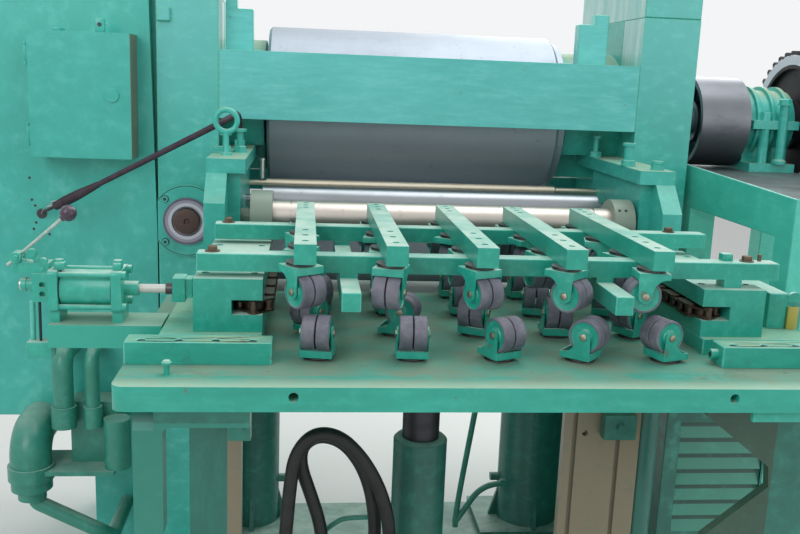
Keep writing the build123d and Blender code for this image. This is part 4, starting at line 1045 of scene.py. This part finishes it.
# %% Valve fittings
to_feed = (0, -1, 0)
valve_end = (-855, -290, 1096)
bright = 1
iron = 2
pale = 3
shape = bmesh.new()
for left, right_edge in ((-814, -793), (-707, -690)):
    slab(shape, (left, -322, 1130), (right_edge, -298, 1146), soft=5)
    bar(shape, (left + 9, -310, 1140), (left + 9, -310, 1150), 10, sides=24, end_radius=8)
fitting = [(0, 15), (8, 15), (10, 12), (15, 12), (16, 13.5), (24, 13.5), (26, 11)]
turned(shape, fitting, valve_end, (-1, 0, 0), 24)
plug = [(25, 11.5), (28, 11), (28.6, 9.5), (28, 7), (23, 6), (23, 0)]
turned(shape, plug, valve_end, (-1, 0, 0), 24, finish=bright)
turned(shape, [(0, 0), (0, 9), (3, 10), (9, 10), (11, 8), (11, 0)], (-857, -296, 1158), to_feed, 24)
turned(shape, [(0, 0), (0, 10), (3, 11), (7, 11), (9, 9), (9, 0)], (-884, -303, 1151), to_feed, 24)
bar(shape, (-884, -300, 1147), (-850, -300, 1128), 6.5, sides=16)
bar(shape, (-857, -300, 1158), (-842, -300, 1136), 6, sides=16)
turned(shape, [(0, 0), (0, 7), (6, 8), (12, 7), (12, 0)], (-836, -296, 1143), to_feed, 20)
slab(shape, (-851, -306, 1120), (-824, -274, 1139), soft=3)
hex_head(shape, (-838, -306, 1130), to_feed, 9, 3)
hex_head(shape, (-884, -311, 1151), to_feed, 10, 4)
bar(shape, (-860, -300, 1068), (-861, -300, 985), 5, sides=14, finish=pale)
bar(shape, (-845, -306, 1068), (-845.5, -306, 985), 2.6, sides=10, finish=iron)
slab(shape, (-870, -318, 958), (-822.5, -288, 990), soft=3)
for x in (-806, -711):
    turned(shape, [(0, 34), (0, 36.4), (2, 36.4), (2, 34)], (x, -290, 1091.5), (1, 0, 0), 28, finish=iron)
finishes = (carriage_paint, bright_steel, dark_iron, edge_paint)
new_piece("valve_fittings", shape, finishes, "lift_table")

# %% Lever
shape = bmesh.new()
pivot = Vector((-884, -290, 1151))
knob = Vector((-791, -290, 1234))
along = (knob - pivot).normalized()
bar(shape, pivot - along * 27, knob, 3.4, sides=16)
bar(shape, pivot - along * 28, pivot - along * 25, 4, sides=16)
bar(shape, (pivot.x, -306, pivot.z), (pivot.x, -274, pivot.z), 4, sides=16)
turned(shape, [(-9, 0), (-9, 6.5), (-7, 7.5), (7, 7.5), (9, 6.5), (9, 0)], pivot, (0, 1, 0), 20)
bar(shape, knob - along * 17, knob - along * 13, 5.5, sides=18, end_radius=7, finish=1)
ball = bmesh.ops.create_uvsphere(
    shape, u_segments=28, v_segments=18, radius=0.0155,
    matrix=Matrix.Translation(mm(*knob)) @ Vector(upward).rotation_difference(along).to_matrix().to_4x4(),
)
mark(ball["verts"], 1)
new_piece("lever", shape, (lever_paint, knob_plastic), "lever_body", "valve_lever")

# %% [markdown]
# ## Hydraulic fittings
# Each lift hose ends in a crimped steel sleeve. One thin rigid pipe joins the lift cylinder, and two come
# down from the press cylinders to the floor frame. Three thin wires join the taped cable where it leaves
# the housing.

# %% Hose ends and pipes
shape = bmesh.new()
crimp = [
    (0, 14), (0, 20), (9, 20), (10, 17), (13, 17), (14, 19.5), (20, 19.5), (21, 18.4), (23, 18.4),
    (24, 19.5), (30, 19.5), (31, 18.4), (33, 18.4), (34, 19.5), (40, 19), (42, 15.4), (42, 14),
]
for place in (hose_1_route[0], hose_2_route[0], hose_1_route[-1], hose_2_route[-1]):
    turned(shape, crimp, place, upward, 24)
new_piece("hose_sleeves", shape, (rusty_steel,), "machine")
for name, radius, route in (
    ("pipe_thin", 6, [(-292, -60, 459), (-268, -60, 480), (-240, -60, 494), (-178, -60, 493)]),
    ("pipe_slanting", 9.5, [(251, 740, 752), (211, 740, 445), (168, 740, 122), (166, 740, 66)]),
    ("pipe_low", 10, [(318, 740, 203), (280, 740, 200), (235, 740, 175), (200, 740, 120), (166, 740, 65)]),
):
    pipe = spline_tube(name, route, radius)
    pipe.data.materials.append(pipe_paint.material)
    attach(pipe, "machine")
shape = bmesh.new()
for x, z in ((318, 203), (166, 62)):
    bar(shape, (x - 8, 740, z), (x + 8, 740, z), 15, sides=6)
new_piece("pipe_nuts", shape, (pipe_paint,), "machine")

# %% Wires and the flared end of the cable's tape
shape = bmesh.new()
for radius, route in (
    (1.8, [(-1069, 534, 1104), (-1063, 524, 1116), (-1047, 508, 1128), (-1024, 492, 1134),
           (-1002, 480, 1140)]),
    (1.5, [(-1052, 514, 1126), (-1028, 496, 1139), (-1000, 482, 1147)]),
    (1.5, [(-1036, 504, 1142), (-1018, 494, 1147), (-994, 482, 1152)]),
):
    for start, end in zip(route, route[1:]):
        bar(shape, start, end, radius, sides=10)
for start, end, wide, narrow in (
    ((-1012, 458, 1137), (-984, 448.5, 1152), 11.5, 13.5),
    ((-984, 448.5, 1152), (-947, 440, 1172), 13.5, 13),
    ((-947, 440, 1172), (-892, 427, 1202), 13, 8.2),
):
    bar(shape, start, end, wide, sides=24, end_radius=narrow, finish=1)
cable_wires = new_piece("cable_wires", shape, (bright_steel, cable_tape), "machine")

# %% [markdown]
# ## Floor, world and light
# The stage is one plain pale floor. Four large lamps, from above, from the front left, from the front right
# and from behind, and a pale world give soft light. The world looks almost white to the camera and to
# reflections only, so that the light on the object stays at a plain level.

# %% Stage and light
reach = 14
stage_mesh = bpy.data.meshes.new("floor")
corners = [(-reach, -reach, 0), (reach, -reach, 0), (reach, reach, 0), (-reach, reach, 0)]
stage_mesh.from_pydata(corners, [], [(0, 1, 2, 3)])
floor = new_object("floor", stage_mesh)
floor_finish = Finish("pale floor", Roughness=0.9)
floor_finish.paint(colour=tint(226, 226, 222))
stage_mesh.materials.append(floor_finish.material)

world = bpy.data.worlds.new("studio")
scene.world = world
world.use_nodes = True
sky = world.node_tree
sky.nodes.clear()


def background(colour, strength):
    """One plain colour of the world."""
    made = sky.nodes.new("ShaderNodeBackground")
    made.inputs["Color"].default_value = colour
    made.inputs["Strength"].default_value = strength
    return made


lit = background((0.93, 0.97, 1.0, 1), 0.62)
seen = background((0.95, 0.96, 0.97, 1), 0.95)
ray = sky.nodes.new("ShaderNodeLightPath")
either = sky.nodes.new("ShaderNodeMath")
either.operation = "MAXIMUM"
choice = sky.nodes.new("ShaderNodeMixShader")
result = sky.nodes.new("ShaderNodeOutputWorld")
for output, entry in (
    (ray.outputs["Is Camera Ray"], either.inputs[0]), (ray.outputs["Is Glossy Ray"], either.inputs[1]),
    (either.outputs[0], choice.inputs[0]), (lit.outputs[0], choice.inputs[1]),
    (seen.outputs[0], choice.inputs[2]), (choice.outputs[0], result.inputs["Surface"]),
):
    sky.links.new(output, entry)


def lamp(name, place, target, size, power):
    """A soft square lamp that looks at a target."""
    light = bpy.data.lights.new(name, "AREA")
    light.size = size
    light.energy = power
    holder = new_object(name, light)
    holder.location = place
    holder.rotation_euler = (Vector(target) - Vector(place)).to_track_quat("-Z", "Y").to_euler()


lamp("top lamp", (0.8, 0.6, 4.6), (0.0, 0.2, 1.2), 3.0, 80)
lamp("front lamp", (-2.6, -3.4, 3.4), (0.0, 0.2, 1.1), 2.6, 66)
lamp("side lamp", (3.4, -2.8, 2.2), (0.4, 0.2, 1.1), 2.6, 22)
lamp("rear lamp", (1.6, 3.6, 3.2), (0.0, 0.6, 1.4), 2.2, 60)
scene.view_settings.view_transform = "Standard"
print(len(bpy.data.lights), "lamps over the floor")
